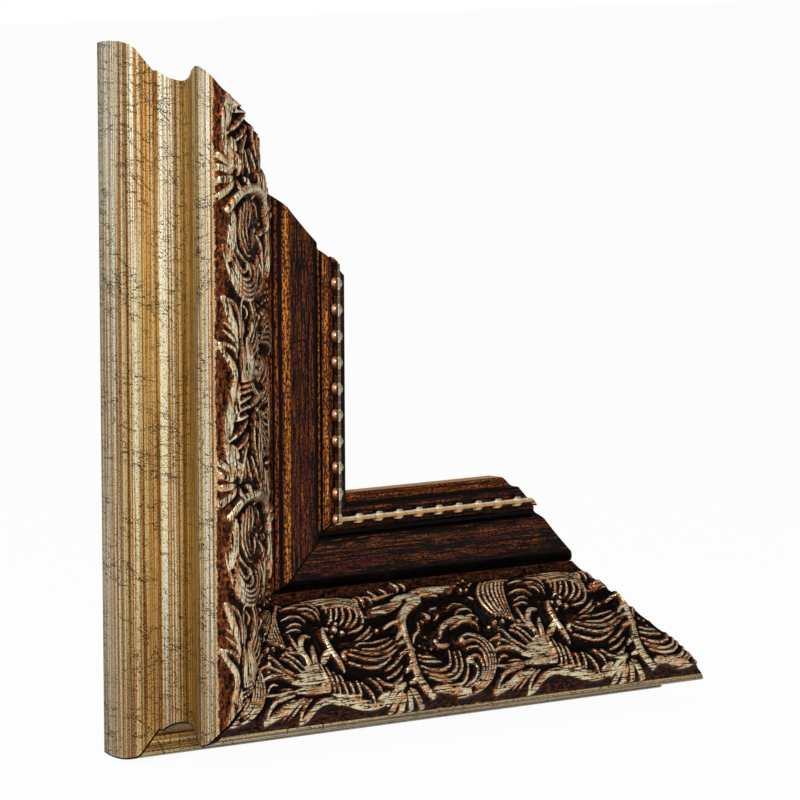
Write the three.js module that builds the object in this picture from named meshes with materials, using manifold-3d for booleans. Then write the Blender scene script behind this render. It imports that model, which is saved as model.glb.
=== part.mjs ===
// Corner of a baroque picture frame: two rails of a built-up moulding, mitred together, upright as on a wall.
// Millimetres. X runs along the bottom rail, Z up along the left rail, and the front faces -Y.
// A moulding's section is drawn in u, inward from the outer edge, and v, forward from the wall.
import * as THREE from 'three';
import { mergeVertices } from 'three/addons/utils/BufferGeometryUtils.js';
import Module from 'manifold-3d';

// Rails and joints
const RAIL_LENGTH = 240; // outer edge of each rail, from the corner to the tip
const MITRE_GAP = 0.3; // open line of the mitre joint
const GLUE_LINE = 0.2; // between pieces glued face to face
const CURVE_STEPS = 8; // facets along each curve of a section

// Back strip: gilded base band outside, rabbet wall inside
const STRIP_THICKNESS = 18.8;
const BASE_BULGE = 1.3; // pull of the base band's curve beyond the outer edge
const BASE_ROUND = 1.6; // rounded front edge of the base band
const RABBET_WIDTH = 7.5;
const SHOULDER_RELIEF = 0.5; // rabbet shoulder, forward of the face glued to the strip

// Frieze moulding: scotia, gilded band and the sloping bed of the ornament
const FRIEZE_SETBACK = 8.9; // ledge left in front of the back strip
const FRIEZE_WIDTH = 42.7;
const QUIRK_HEIGHT = 2.1; // upright foot of the scotia
const SCOTIA_DEPTH = 3.2;
const SCOTIA_HEIGHT = 19.1;
const SCOTIA_HOLLOW = 7.9; // height of the deepest point above the quirk
const SCOTIA_OVERHANG = 0.6; // how far the scotia's top stands out past its foot
const FILLET_HEIGHT = 2.8; // flat fillet between scotia and band
const FILLET_OVERHANG = 0.9;
const BAND_HEIGHT = 5.9;
const BAND_SLOPE = 2.2; // how far the band leans in over its height
const BED_DROP = 21.9; // fall of the bed from the band to the inner strip
const BED_RUN = 37.6; // width of the bed's curve
const BED_SHOULDER = 16.3; // length of the bed that stays high
const BED_TAIL = 13.2; // length over which the bed flattens out
const BED_TAIL_RISE = 11; // height of the bed where the tail begins
const STRIP_FALL = 0.6; // fall of the plain inner strip

// Sight moulding: slope, flat band, groove, pearl seat and lip
const SIGHT_WIDTH = 32.2;
const SLOPE_FOOT = 7.3; // outer flank of the sight moulding
const SLOPE_WIDTH = 4.3;
const SLOPE_HEIGHT = 4.9;
const FLAT_DIP = 0.7; // hollow of the flat band
const GROOVE_FALL = 2.4; // depth of the groove under the flat band
const GROOVE_EASE = 2.2; // eased slope from the flat band into the groove
const GROOVE_WIDTH = 1.1;
const SEAT_SLOPE = 2.6; // width of the slope between groove and pearl seat
const SEAT_RISE = 2.5; // pearl seat above the groove
const SEAT_WIDTH = 6.4;
const LIP_WIDTH = 3.4;
const LIP_FALL = 4.2; // from the pearl seat down to the lip
const LIP_ROUND = 1.5;

// Pearl string
const PEARL_RADIUS = 2.3;
const PEARL_LIFT = 0.8; // centre of a pearl above its flat foot
const PEARL_PITCH = 9;
const PEARL_INSET = 8; // centre line of the pearls, from the sight edge
const PEARL_BAR_WIDTH = 1.7;
const PEARL_BAR_HEIGHT = 2;
const PEARL_SIDES = 10;
const PEARL_RINGS = 6;

// Frieze ornament
const ORNAMENT_SHEET = 0.6; // thickness of the composition between the reliefs
const ORNAMENT_MARGIN = 0.03; // share of the bed left plain along each edge
const ORNAMENT_ROWS = 104;
const ORNAMENT_COLUMNS = 22;
const MEAN_RELIEF = 2.4; // where a form's place along the rail is taken, above the bed
const REPEAT = 102.4; // length of the pattern
const MIRROR_POINT = 186; // the left rail runs the pattern backward from here
const PATH_STEPS = 16;

// Carving of one repeat. A form has a path in s along the rail and w across the bed, a half width and a rise.
// Masses are the swellings under leaves and scrolls.
const MASSES = {
  lowerLobes: { path: [[30, 7], [42, 9], [56, 10]], half: 4.5, rise: 1.9 },
  leafBody: { path: [[34, 19], [46, 17], [56, 16]], half: 5, rise: 2.3 },
  leafFingers: { path: [[36, 24], [48, 22], [55, 22]], half: 4.5, rise: 1.8 },
  ribbedLeaf: { path: [[47, 44], [42, 37], [40, 28]], half: 7.5, rise: 2.9 },
  hood: { path: [[56, 41], [66, 43], [76, 42.5], [82, 39], [79, 34]], half: 5.5, rise: 2.9 },
  petal: { path: [[64, 33], [64, 25], [66, 18]], half: 2.6, rise: 2.2 },
  bowl: { path: [[69, 21], [80, 19], [92, 21]], half: 6.5, rise: 1.7 },
  comb: { path: [[58, 12], [70, 8], [88, 9]], half: 5, rise: 2.1 },
  fan: { path: [[92, 8], [91, 3]], half: 6, rise: 1.6 },
  stem: { path: [[111, 40], [100, 33], [97, 22], [98, 11], [104, 7]], half: 3.5, rise: 2.3 },
  spatulaLeaf: { path: [[90, 38], [104, 40], [112, 42]], half: 3, rise: 2.1 },
  toothedLeaf: { path: [[84, 43], [98, 44], [108, 47]], half: 3, rise: 1.6 },
  scroll: { path: [[104, 14], [112, 11], [124, 10], [128, 17], [123, 21]], half: 8, rise: 2.6 },
  smallLeaf: { path: [[113, 25], [122, 30], [132, 28]], half: 3.5, rise: 2.1 },
  barLeaf: { path: [[111, 43], [120, 43.5], [128, 44]], half: 3, rise: 2.2 },
  tendrils: { path: [[110, 33], [118, 35], [132, 34]], half: 4, rise: 1.4 },
};
// Ribs are the bold strokes that stand on the masses.
const RIBS = {
  lowerLobe: { path: [[29.3, 3.9], [36, 6.4], [42, 9.4]], half: 1.7, rise: 1.1 },
  loopLobe: { path: [[44.6, 2.2], [51, 6.7], [58, 8.2], [62, 7]], half: 1.7, rise: 1.2 },
  mainVein: { path: [[29.3, 12.2], [36, 11.9], [45, 12.4], [57, 11.8]], half: 1.6, rise: 1.2 },
  bodyRib: { path: [[43.5, 15.6], [50, 15.4], [56, 15.2]], half: 2.2, rise: 1.1 },
  longFinger: { path: [[46, 17], [41, 20.3], [37.6, 25]], half: 1.6, rise: 1.1 },
  shortFinger: { path: [[52, 20], [48.2, 22], [44.6, 25.6]], half: 1.6, rise: 1.1 },
  upperHorn: { path: [[59.5, 31.4], [54, 29.3], [52.7, 22], [53, 18.5]], half: 1.7, rise: 1.4 },
  lowerHorn: { path: [[58.8, 27.8], [55.6, 21.8], [54.8, 14]], half: 1.7, rise: 1.4 },
  ribbedLeafInner: { path: [[53, 44.3], [47.6, 40], [46.4, 31], [46.8, 27]], half: 1.6, rise: 1.1 },
  ribbedLeafMiddle: { path: [[46.7, 44.5], [42.2, 40], [41.4, 33], [42.4, 28.5]], half: 1.6, rise: 1.1 },
  ribbedLeafOuter: { path: [[40.4, 44.6], [36.4, 39], [36.4, 33], [38.2, 29.5]], half: 1.6, rise: 1.1 },
  hoodCrown: { path: [[62, 45], [70, 45], [78, 44.6], [82.8, 43], [85.6, 36]], half: 1.9, rise: 1.2 },
  hoodLower: { path: [[69.5, 41.2], [77.5, 41], [82.2, 38.8], [82.6, 37]], half: 1.6, rise: 1 },
  hoodHanging: { path: [[85, 38.6], [82.6, 32.6], [76.4, 31]], half: 1.5, rise: 1.1 },
  hoodPearl: { path: [[70.2, 32.8], [71.8, 32]], half: 1.8, rise: 2.2 },
  petal: { path: [[66.8, 34.2], [63.9, 29], [64.3, 25], [66.8, 17]], half: 1.8, rise: 1.6 },
  bowlUpper: { path: [[71.5, 23.4], [80, 20.7], [91.5, 23.3]], half: 1.5, rise: 0.9 },
  bowlLower: { path: [[69, 19.2], [78, 16.3], [86.5, 18.7]], half: 1.5, rise: 0.9 },
  combEdge: { path: [[58, 8.6], [66, 6.6], [75, 4.6], [83, 6.2], [91, 10.4]], half: 1.7, rise: 1.2 },
  combTooth: { path: [[57.2, 20], [57, 15], [57.6, 11]], half: 1.4, rise: 1 },
  fanOuter: { path: [[91, 9.6], [84.4, 2.6]], half: 1.6, rise: 1 },
  fanMiddle: { path: [[91.6, 9.2], [91, 2.8]], half: 1.6, rise: 1 },
  fanInner: { path: [[92.2, 10], [98, 2.4]], half: 1.7, rise: 1 },
  stem: { path: [[111, 39.6], [101.6, 34.6], [97.6, 25], [96.4, 15], [102.6, 5.4]], half: 2, rise: 1.7 },
  spatulaLeaf: { path: [[100.5, 41], [106, 41.9], [111.7, 41.7]], half: 1.7, rise: 1.1 },
  barLeaf: { path: [[110.8, 43.6], [120, 44.4], [127.3, 44]], half: 1.7, rise: 1.2 },
  scrollRing: { path: [[125, 24.9], [132.8, 20], [132, 12], [124, 5.8], [119, 4.4]], half: 1.6, rise: 1.2 },
  scrollTurn: { path: [[122, 19], [128, 17], [128, 13], [121.5, 7]], half: 1.6, rise: 1 },
  scrollEye: { path: [[121.6, 15.4], [122.4, 15.4]], half: 1.8, rise: 1.2 },
  scrollLeaf: { path: [[100.5, 13.4], [109, 11.2], [116, 15.5], [117, 19]], half: 1.6, rise: 1 },
  scrollLip: { path: [[104, 7.6], [113, 6.4], [119, 5.6]], half: 1.7, rise: 1.1 },
  smallLeaf: { path: [[112.5, 24.2], [115.5, 27.8], [120, 29.8], [130, 30.3]], half: 1.7, rise: 1.2 },
};

// V-nails
const NAIL_PLACES = { outer: 14, middle: 36, inner: 58 }; // along the mitre, as u
const NAIL_LEG = 6;
const NAIL_GAUGE = 0.9;
const NAIL_HALF_ANGLE = THREE.MathUtils.degToRad(50);
const NAIL_DEPTH = 10;
const NAIL_SINK = 0.5; // driven below the back
const NAIL_CLEARANCE = 0.3;

const wasm = await Module();
wasm.setup();

// Places that follow from the sizes above
const railWidth = FRIEZE_SETBACK + FRIEZE_WIDTH + GLUE_LINE + SIGHT_WIDTH;
const stripWidth = railWidth - RABBET_WIDTH;
const upperFoot = STRIP_THICKNESS + GLUE_LINE;
const scotiaTop = upperFoot + QUIRK_HEIGHT + SCOTIA_HEIGHT;
const arrisHeight = scotiaTop + FILLET_HEIGHT;
const ridgeHeight = arrisHeight + BAND_HEIGHT;
const arrisInset = FRIEZE_SETBACK - SCOTIA_OVERHANG - FILLET_OVERHANG;
const bedStart = arrisInset + BAND_SLOPE;
const bedLow = ridgeHeight - BED_DROP;
const friezeEdge = FRIEZE_SETBACK + FRIEZE_WIDTH;
const sightStart = friezeEdge + GLUE_LINE;
const crestHeight = upperFoot + SLOPE_FOOT + SLOPE_HEIGHT;
const grooveFloor = crestHeight - GROOVE_FALL;
const seatHeight = grooveFloor + SEAT_RISE;
const pearlLine = railWidth - PEARL_INSET;
const pearlFoot = seatHeight + GLUE_LINE;
const mitreInset = MITRE_GAP * Math.SQRT1_2;

// The two rails: where a point of the section, u and v, lies at s along the rail
const rails = {
  left: { place: (u, v, s) => [u, -v, s], mirrored: true },
  bottom: { place: (u, v, s) => [s, -v, u], mirrored: false },
};

// Distance along the rail from one mitred end, at 0, to the other, at 1
function alongRail(u, share) {
  return THREE.MathUtils.lerp(u + mitreInset, RAIL_LENGTH - u, share);
}

function flipFaces(geometry) {
  const index = geometry.index.array;
  for (let i = 0; i < index.length; i += 3) {
    [index[i + 1], index[i + 2]] = [index[i + 2], index[i + 1]];
  }
}

function bareGeometry(geometry) {
  geometry.deleteAttribute('normal');
  geometry.deleteAttribute('uv');
  return mergeVertices(geometry, 1e-5);
}

// A section swept along a rail, with both ends mitred
function sweepRail(section, rail) {
  const options = { depth: 1, steps: 1, bevelEnabled: false, curveSegments: CURVE_STEPS };
  const geometry = bareGeometry(new THREE.ExtrudeGeometry(section, options));
  const position = geometry.attributes.position;
  for (let i = 0; i < position.count; i += 1) {
    const u = position.getX(i);
    position.setXYZ(i, ...rail.place(u, position.getY(i), alongRail(u, position.getZ(i))));
  }
  if (rail.mirrored) flipFaces(geometry);
  return geometry;
}

function toSolid(geometry) {
  return new wasm.Manifold(new wasm.Mesh({
    numProp: 3,
    vertProperties: new Float32Array(geometry.attributes.position.array),
    triVerts: new Uint32Array(geometry.index.array),
  }));
}

function toGeometry(solid) {
  const mesh = solid.getMesh();
  const geometry = new THREE.BufferGeometry();
  geometry.setAttribute('position', new THREE.BufferAttribute(new Float32Array(mesh.vertProperties), 3));
  geometry.setIndex(new THREE.BufferAttribute(new Uint32Array(mesh.triVerts), 1));
  return geometry;
}

// Base band with a soft bulge and a rounded front edge, then the ledge, the rabbet wall and the flat back
function backStripSection() {
  const section = new THREE.Shape();
  section.moveTo(0, 0);
  section.bezierCurveTo(
    -BASE_BULGE, STRIP_THICKNESS * 0.35,
    -BASE_BULGE, STRIP_THICKNESS * 0.7,
    0, STRIP_THICKNESS - BASE_ROUND,
  );
  section.quadraticCurveTo(BASE_ROUND * 0.3, STRIP_THICKNESS, BASE_ROUND, STRIP_THICKNESS);
  section.lineTo(stripWidth, STRIP_THICKNESS);
  section.lineTo(stripWidth, 0);
  return section;
}

// Curve of the frieze bed, from the ridge of the band down to the plain inner strip
function bedCurve() {
  return new THREE.CubicBezierCurve(
    new THREE.Vector2(bedStart, ridgeHeight),
    new THREE.Vector2(bedStart + BED_SHOULDER, ridgeHeight),
    new THREE.Vector2(bedStart + BED_RUN - BED_TAIL, bedLow + BED_TAIL_RISE),
    new THREE.Vector2(bedStart + BED_RUN, bedLow),
  );
}

function friezeSection() {
  const quirk = upperFoot + QUIRK_HEIGHT;
  const hollow = FRIEZE_SETBACK + SCOTIA_DEPTH;
  const deepest = quirk + SCOTIA_HOLLOW;
  const bed = bedCurve();
  const section = new THREE.Shape();
  section.moveTo(FRIEZE_SETBACK, upperFoot);
  section.lineTo(FRIEZE_SETBACK, quirk);
  section.quadraticCurveTo(hollow, quirk + SCOTIA_HOLLOW * 0.2, hollow, deepest);
  section.quadraticCurveTo(
    hollow, deepest + (scotiaTop - deepest) * 0.43,
    FRIEZE_SETBACK - SCOTIA_OVERHANG, scotiaTop,
  );
  section.lineTo(arrisInset, arrisHeight);
  section.bezierCurveTo(
    arrisInset, arrisHeight + BAND_HEIGHT * 0.45,
    arrisInset + BAND_SLOPE * 0.45, ridgeHeight,
    bedStart, ridgeHeight,
  );
  section.bezierCurveTo(bed.v1.x, bed.v1.y, bed.v2.x, bed.v2.y, bed.v3.x, bed.v3.y);
  section.lineTo(friezeEdge, bedLow - STRIP_FALL);
  section.lineTo(friezeEdge, upperFoot);
  return section;
}

function sightSection() {
  const slopeFoot = upperFoot + SLOPE_FOOT;
  const crest = sightStart + SLOPE_WIDTH;
  const step = railWidth - LIP_WIDTH;
  const seat = step - SEAT_WIDTH;
  const groove = seat - SEAT_SLOPE;
  const ease = groove - GROOVE_WIDTH - GROOVE_EASE;
  const lipTop = seatHeight - LIP_FALL;
  const section = new THREE.Shape();
  section.moveTo(sightStart, upperFoot);
  section.lineTo(sightStart, slopeFoot);
  section.quadraticCurveTo(crest - SLOPE_WIDTH * 0.5, crestHeight - SLOPE_HEIGHT * 0.25, crest, crestHeight);
  section.quadraticCurveTo((crest + ease) / 2, crestHeight - FLAT_DIP, ease, crestHeight);
  section.bezierCurveTo(
    ease + GROOVE_EASE * 0.4, crestHeight,
    ease + GROOVE_EASE * 0.75, crestHeight - GROOVE_FALL * 0.5,
    groove - GROOVE_WIDTH, grooveFloor,
  );
  section.lineTo(groove, grooveFloor);
  section.quadraticCurveTo(groove + SEAT_SLOPE * 0.5, seatHeight - SEAT_RISE * 0.2, seat, seatHeight);
  section.lineTo(step, seatHeight);
  section.lineTo(step, lipTop + LIP_ROUND);
  section.quadraticCurveTo(step, lipTop, step + LIP_ROUND, lipTop);
  section.lineTo(railWidth - LIP_ROUND, lipTop);
  section.quadraticCurveTo(railWidth, lipTop, railWidth, lipTop - LIP_ROUND);
  section.lineTo(railWidth, upperFoot + SHOULDER_RELIEF);
  section.lineTo(stripWidth + GLUE_LINE, upperFoot + SHOULDER_RELIEF);
  section.lineTo(stripWidth + GLUE_LINE, upperFoot);
  return section;
}

// A rectangle of the section that stands on the pearl seat, centred on the pearl line
function onPearlSeat(width, height) {
  const half = width / 2;
  const section = new THREE.Shape();
  section.moveTo(pearlLine - half, pearlFoot);
  section.lineTo(pearlLine + half, pearlFoot);
  section.lineTo(pearlLine + half, pearlFoot + height);
  section.lineTo(pearlLine - half, pearlFoot + height);
  return section;
}

// Pearls strung on a bar, flat underneath; the first sits on the mitre, and both ends are cut with the rail
function pearlString(rail) {
  const room = toSolid(sweepRail(onPearlSeat(PEARL_RADIUS * 3, PEARL_RADIUS * 3), rail));
  let string = toSolid(sweepRail(onPearlSeat(PEARL_BAR_WIDTH, PEARL_BAR_HEIGHT), rail));
  const pearls = Math.floor((alongRail(pearlLine, 1) - pearlLine + PEARL_RADIUS) / PEARL_PITCH);
  for (let k = 0; k <= pearls; k += 1) {
    const pearl = new THREE.SphereGeometry(PEARL_RADIUS, PEARL_SIDES, PEARL_RINGS);
    pearl.translate(...rail.place(pearlLine, pearlFoot + PEARL_LIFT, pearlLine + k * PEARL_PITCH));
    string = string.add(toSolid(bareGeometry(pearl)));
  }
  return toGeometry(string.intersect(room));
}

// The forms with their paths as points of a smooth curve
function drawForms(forms) {
  return Object.values(forms).map(({ path, half, rise }) => {
    const curve = new THREE.SplineCurve(path.map(([s, w]) => new THREE.Vector2(s, w)));
    return { points: curve.getPoints(PATH_STEPS), half, rise };
  });
}

const masses = drawForms(MASSES);
const ribs = drawForms(RIBS);

function distanceToPath(place, points) {
  const nearest = new THREE.Vector2();
  let distance = Infinity;
  for (let i = 1; i < points.length; i += 1) {
    const run = points[i].clone().sub(points[i - 1]);
    const share = nearest.subVectors(place, points[i - 1]).dot(run) / run.lengthSq();
    nearest.lerpVectors(points[i - 1], points[i], THREE.MathUtils.clamp(share, 0, 1));
    distance = Math.min(distance, nearest.distanceTo(place));
  }
  return distance;
}

// Height of the highest of some forms at a place of the pattern, each rounded across its path
function highest(forms, place) {
  const rises = forms.map(({ points, half, rise }) => {
    const away = Math.min(1, distanceToPath(place, points) / half);
    return rise * (1 - away * away);
  });
  return Math.max(...rises);
}

// Relief of the carving over the sheet, at s along the rail and w across the bed
function reliefHeight(rail, s, w) {
  const along = rail.mirrored ? MIRROR_POINT - s : s;
  const first = THREE.MathUtils.euclideanModulo(along, REPEAT);
  const places = [first, first + REPEAT].map((repeat) => new THREE.Vector2(repeat, w));
  const rises = (forms) => Math.max(...places.map((place) => highest(forms, place)));
  return rises(masses) + rises(ribs);
}

// A sheet of composition that follows the bed, with its relief raised along the bed's normals
function ornament(rail) {
  const bed = bedCurve();
  const bedLength = bed.getLength();
  const positions = [];
  const indices = [];
  const width = ORNAMENT_COLUMNS + 1;
  const addPoint = (column, share, raised) => {
    const onBed = THREE.MathUtils.lerp(ORNAMENT_MARGIN, 1 - ORNAMENT_MARGIN, column / ORNAMENT_COLUMNS);
    const foot = bed.getPointAt(onBed);
    const tangent = bed.getTangentAt(onBed);
    const edge = column === 0 || column === ORNAMENT_COLUMNS;
    const s = alongRail(foot.x - tangent.y * MEAN_RELIEF, share);
    const relief = edge ? 0 : reliefHeight(rail, s, onBed * bedLength);
    const rise = raised ? GLUE_LINE + ORNAMENT_SHEET + relief : GLUE_LINE;
    const u = foot.x - tangent.y * rise;
    const v = foot.y + tangent.x * rise;
    positions.push(...rail.place(u, v, alongRail(u, share)));
  };
  for (let row = 0; row <= ORNAMENT_ROWS; row += 1) {
    for (let column = 0; column < width; column += 1) addPoint(column, row / ORNAMENT_ROWS, true);
  }
  for (const share of [0, 1]) {
    for (let column = 0; column < width; column += 1) addPoint(column, share, false);
  }
  const lastRow = ORNAMENT_ROWS * width;
  const footStart = lastRow + width;
  const footEnd = footStart + width;
  const quad = (a, b, c, d) => indices.push(a, b, c, a, c, d);
  for (let column = 0; column < ORNAMENT_COLUMNS; column += 1) {
    for (let row = 0; row < ORNAMENT_ROWS; row += 1) {
      const a = row * width + column;
      quad(a, a + width, a + width + 1, a + 1);
    }
    quad(footStart + column, footStart + column + 1, footEnd + column + 1, footEnd + column);
    quad(footStart + column, column, column + 1, footStart + column + 1);
    quad(footEnd + column, footEnd + column + 1, lastRow + column + 1, lastRow + column);
  }
  // the long sides: the first half of the rows meets the foot's start, the other half its end
  for (const [column, outer] of [[0, true], [ORNAMENT_COLUMNS, false]]) {
    const side = (a, b, c) => (outer ? indices.push(a, b, c) : indices.push(a, c, b));
    const middle = (ORNAMENT_ROWS / 2) * width + column;
    for (let row = 0; row < ORNAMENT_ROWS; row += 1) {
      const a = row * width + column;
      side((a < middle ? footStart : footEnd) + column, a + width, a);
    }
    side(footStart + column, footEnd + column, middle);
  }
  const geometry = new THREE.BufferGeometry();
  geometry.setAttribute('position', new THREE.Float32BufferAttribute(positions, 3));
  geometry.setIndex(indices);
  if (rail.mirrored) flipFaces(geometry);
  return geometry;
}

// Plan of a V-nail on the mitre: x along the joint, y across it, the legs opening inward
function nailPlan(grow) {
  const half = NAIL_GAUGE / 2 + grow;
  const leg = NAIL_LEG + grow;
  const along = new THREE.Vector2(Math.cos(NAIL_HALF_ANGLE), Math.sin(NAIL_HALF_ANGLE));
  const apex = half / along.y;
  const inner = new THREE.Vector2(leg * along.x + half * along.y, leg * along.y - half * along.x);
  const outer = new THREE.Vector2(leg * along.x - half * along.y, leg * along.y + half * along.x);
  const plan = new THREE.Shape();
  plan.moveTo(apex, 0);
  plan.lineTo(inner.x, -inner.y);
  plan.lineTo(outer.x, -outer.y);
  plan.lineTo(-apex, 0);
  plan.lineTo(outer.x, outer.y);
  plan.lineTo(inner.x, inner.y);
  return plan;
}

// Turns a nail's plan into the mitre: along the joint, across it, and forward into the wood
const mitreTurn = new THREE.Matrix4().makeBasis(
  new THREE.Vector3(1, 0, 1).normalize(),
  new THREE.Vector3(-1, 0, 1).normalize(),
  new THREE.Vector3(0, -1, 0),
);

function nailGeometry() {
  const nail = new THREE.ExtrudeGeometry(nailPlan(0), { depth: NAIL_DEPTH, steps: 1, bevelEnabled: false });
  return bareGeometry(nail);
}

function nailSlot(place) {
  const overshoot = 1;
  const depth = overshoot + NAIL_SINK + NAIL_DEPTH + NAIL_CLEARANCE;
  const slot = new THREE.ExtrudeGeometry(nailPlan(NAIL_CLEARANCE), { depth, steps: 1, bevelEnabled: false });
  slot.applyMatrix4(mitreTurn);
  slot.translate(place, overshoot, place);
  return toSolid(bareGeometry(slot));
}

function backStrip(rail) {
  let strip = toSolid(sweepRail(backStripSection(), rail));
  for (const place of Object.values(NAIL_PLACES)) {
    strip = strip.subtract(nailSlot(place));
  }
  return toGeometry(strip);
}

const finishes = {
  gilding: { color: 0xb09468, roughness: 0.42, metalness: 0.6 },
  darkWood: { color: 0x2c1710, roughness: 0.38, metalness: 0 },
  composition: { color: 0x8a7654, roughness: 0.45, metalness: 0.5 },
  pearl: { color: 0xb98a5a, roughness: 0.4, metalness: 0.6 },
  steel: { color: 0x8d9094, roughness: 0.35, metalness: 0.9 },
};

function addPiece(group, name, geometry, finish) {
  const faceted = geometry.toNonIndexed();
  faceted.computeVertexNormals();
  const piece = new THREE.Mesh(faceted, new THREE.MeshStandardMaterial(finishes[finish]));
  piece.name = name;
  group.add(piece);
  return piece;
}

const corner = new THREE.Group();
for (const [side, rail] of Object.entries(rails)) {
  addPiece(corner, `${side}_back_strip`, backStrip(rail), 'gilding');
  addPiece(corner, `${side}_frieze_moulding`, sweepRail(friezeSection(), rail), 'gilding');
  addPiece(corner, `${side}_frieze_ornament`, ornament(rail), 'composition');
  addPiece(corner, `${side}_sight_moulding`, sweepRail(sightSection(), rail), 'darkWood');
  addPiece(corner, `${side}_pearl_string`, pearlString(rail), 'pearl');
}
for (const [name, place] of Object.entries(NAIL_PLACES)) {
  const nail = addPiece(corner, `v_nail_${name}`, nailGeometry(), 'steel');
  nail.position.set(place, -NAIL_SINK, place);
  nail.setRotationFromMatrix(mitreTurn);
}

// The origin lies on the wall plane, at the middle of the left rail's back
corner.position.set(-stripWidth / 2, 0, -RAIL_LENGTH / 2);

const frameCorner = new THREE.Group();
frameCorner.add(corner);

export default frameCorner;
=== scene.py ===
"""Looks of the baroque frame corner: gilded mouldings, carved frieze, dark sight edge and pearl strings.

Sizes are in millimetres, in the corner's own coordinates: u inward from the outer edge, v forward from
the wall, s along a rail from the outer corner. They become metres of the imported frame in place().
"""
import math

import bmesh
import bpy
import numpy as np
from mathutils import Matrix, Vector


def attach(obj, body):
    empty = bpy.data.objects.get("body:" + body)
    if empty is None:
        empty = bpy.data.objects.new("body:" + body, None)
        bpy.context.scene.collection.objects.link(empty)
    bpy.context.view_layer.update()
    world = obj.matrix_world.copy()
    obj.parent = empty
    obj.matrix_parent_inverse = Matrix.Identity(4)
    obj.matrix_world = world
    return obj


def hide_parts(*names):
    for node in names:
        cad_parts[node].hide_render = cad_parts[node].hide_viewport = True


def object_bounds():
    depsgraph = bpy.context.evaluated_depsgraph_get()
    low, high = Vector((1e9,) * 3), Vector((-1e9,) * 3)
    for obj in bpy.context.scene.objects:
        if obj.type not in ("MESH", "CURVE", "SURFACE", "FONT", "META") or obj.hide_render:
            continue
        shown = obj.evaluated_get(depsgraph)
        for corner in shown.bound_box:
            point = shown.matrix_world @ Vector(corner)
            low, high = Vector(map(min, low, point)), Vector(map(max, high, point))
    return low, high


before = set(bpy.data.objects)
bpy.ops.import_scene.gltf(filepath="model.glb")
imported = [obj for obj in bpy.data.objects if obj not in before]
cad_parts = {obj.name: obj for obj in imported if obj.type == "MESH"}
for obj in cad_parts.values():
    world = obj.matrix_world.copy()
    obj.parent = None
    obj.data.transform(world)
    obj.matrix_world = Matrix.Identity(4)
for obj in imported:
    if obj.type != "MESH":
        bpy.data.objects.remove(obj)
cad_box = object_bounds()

MM = 0.001
RAIL_LENGTH = 240.0
STRIP_WIDTH = 76.5
# gap of the mitre joint, and how far along itself each rail stops short of the mitre
MITRE_GAP = 0.3
MITRE_INSET = MITRE_GAP * math.sqrt(0.5)
GLUE_LINE = 0.2
CORNER = (-STRIP_WIDTH / 2, 0.0, -RAIL_LENGTH / 2)
SIDES = ("left", "bottom")
NAILS = ("v_nail_outer", "v_nail_middle", "v_nail_inner")


def place(side, u, v, s):
    """Points of a rail's section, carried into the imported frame, in metres."""
    u, v, s = np.broadcast_arrays(u, v, s)
    x, z = (u, s) if side == "left" else (s, u)
    return np.stack([x + CORNER[0], -v + CORNER[1], z + CORNER[2]], -1) * MM


# Sections


def bezier(points, steps):
    """A curve with two to four control points, as an array of (u, v)."""
    t = np.linspace(0, 1, steps + 1)[:, None]
    level = [np.array(p, float)[None, :] for p in points]
    while len(level) > 1:
        level = [a + (b - a) * t for a, b in zip(level[:-1], level[1:])]
    return level[0]


def chain(start, *curves):
    """Curves joined end to end: each gives the control points after its start, then its steps."""
    points = [np.array([start], float)]
    for *control, steps in curves:
        points.append(bezier([start, *control], steps)[1:])
        start = control[-1]
    return np.vstack(points)


def back_strip_runs():
    """Gilded band and ledge, then the bare wood of the rabbet wall and the back."""
    gilded = chain(
        (0, 0),
        ((-1.3, 6.6), (-1.3, 13.2), (0, 17.2), 14),
        ((0.5, 18.8), (1.6, 18.8), 6),
        ((9.4, 18.8), 4),
    )
    bare = [(9.4, 18.8), (STRIP_WIDTH, 18.8), (STRIP_WIDTH, 0), (0, 0)]
    return [(gilded, "strip"), (bare, "bare_wood")]


def bed_curve(steps, end_steps):
    """The sloping bed under the ornament, and the strip at its inner end."""
    return chain((9.6, 48.9), ((25.9, 48.9), (34.0, 38.0), (47.2, 27.0), steps), ((51.6, 26.4), end_steps))


def frieze_runs():
    """Scotia, fillet and gilded band, the bed under the ornament, and the bare glued faces."""
    gilded = chain(
        (8.9, 19.0),
        ((8.9, 21.1), 2),
        ((10.6, 22.3), (12.1, 25.6), (12.15, 29.8), 10),
        ((12.2, 34.2), (8.3, 40.4), 12),
        ((6.6, 44.6), 3),
        ((6.5, 46.8), (7.8, 48.9), (9.6, 48.9), 14),
    )
    bare = [(51.6, 26.4), (51.6, 19.0), (8.9, 19.0)]
    return [(gilded, "frieze"), (bed_curve(24, 3), "ornament"), (bare, "bare_wood")]


def sight_runs():
    """Slope, flat band, groove, pearl seat, step and lip; the bare lip edge, shoulder and glued faces."""
    shown = chain(
        (51.8, 25.6),
        ((51.8, 26.3), 1),
        ((53.95, 29.98), (56.1, 31.2), 8),
        ((62.2, 30.5), (68.3, 31.2), 10),
        ((69.2, 31.1), (69.9, 30.0), (70.5, 28.8), 8),
        ((71.6, 28.8), 1),
        ((72.6, 30.6), (74.2, 31.3), 8),
        ((80.5, 31.3), 4),
        ((80.8, 31.3), (80.8, 31.0), 3),
        ((80.8, 28.6), 2),
        ((80.8, 27.1), (82.3, 27.1), 5),
        ((84.0, 27.1), (84.0, 25.6), 5),
    )
    bare = [(84.0, 25.6), (84.0, 19.5), (76.7, 19.5), (76.7, 19.0), (51.8, 19.0), (51.8, 25.6)]
    return [(shown, "dark_wood"), (bare, "bare_wood")]


# Mesh building

SWEEP_STEPS = 60
# angles in degrees from which an edge is shaded sharp
SHARP_MOULDING = 35
SHARP_RELIEF = 75
SHARP_PEARL = 50


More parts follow.
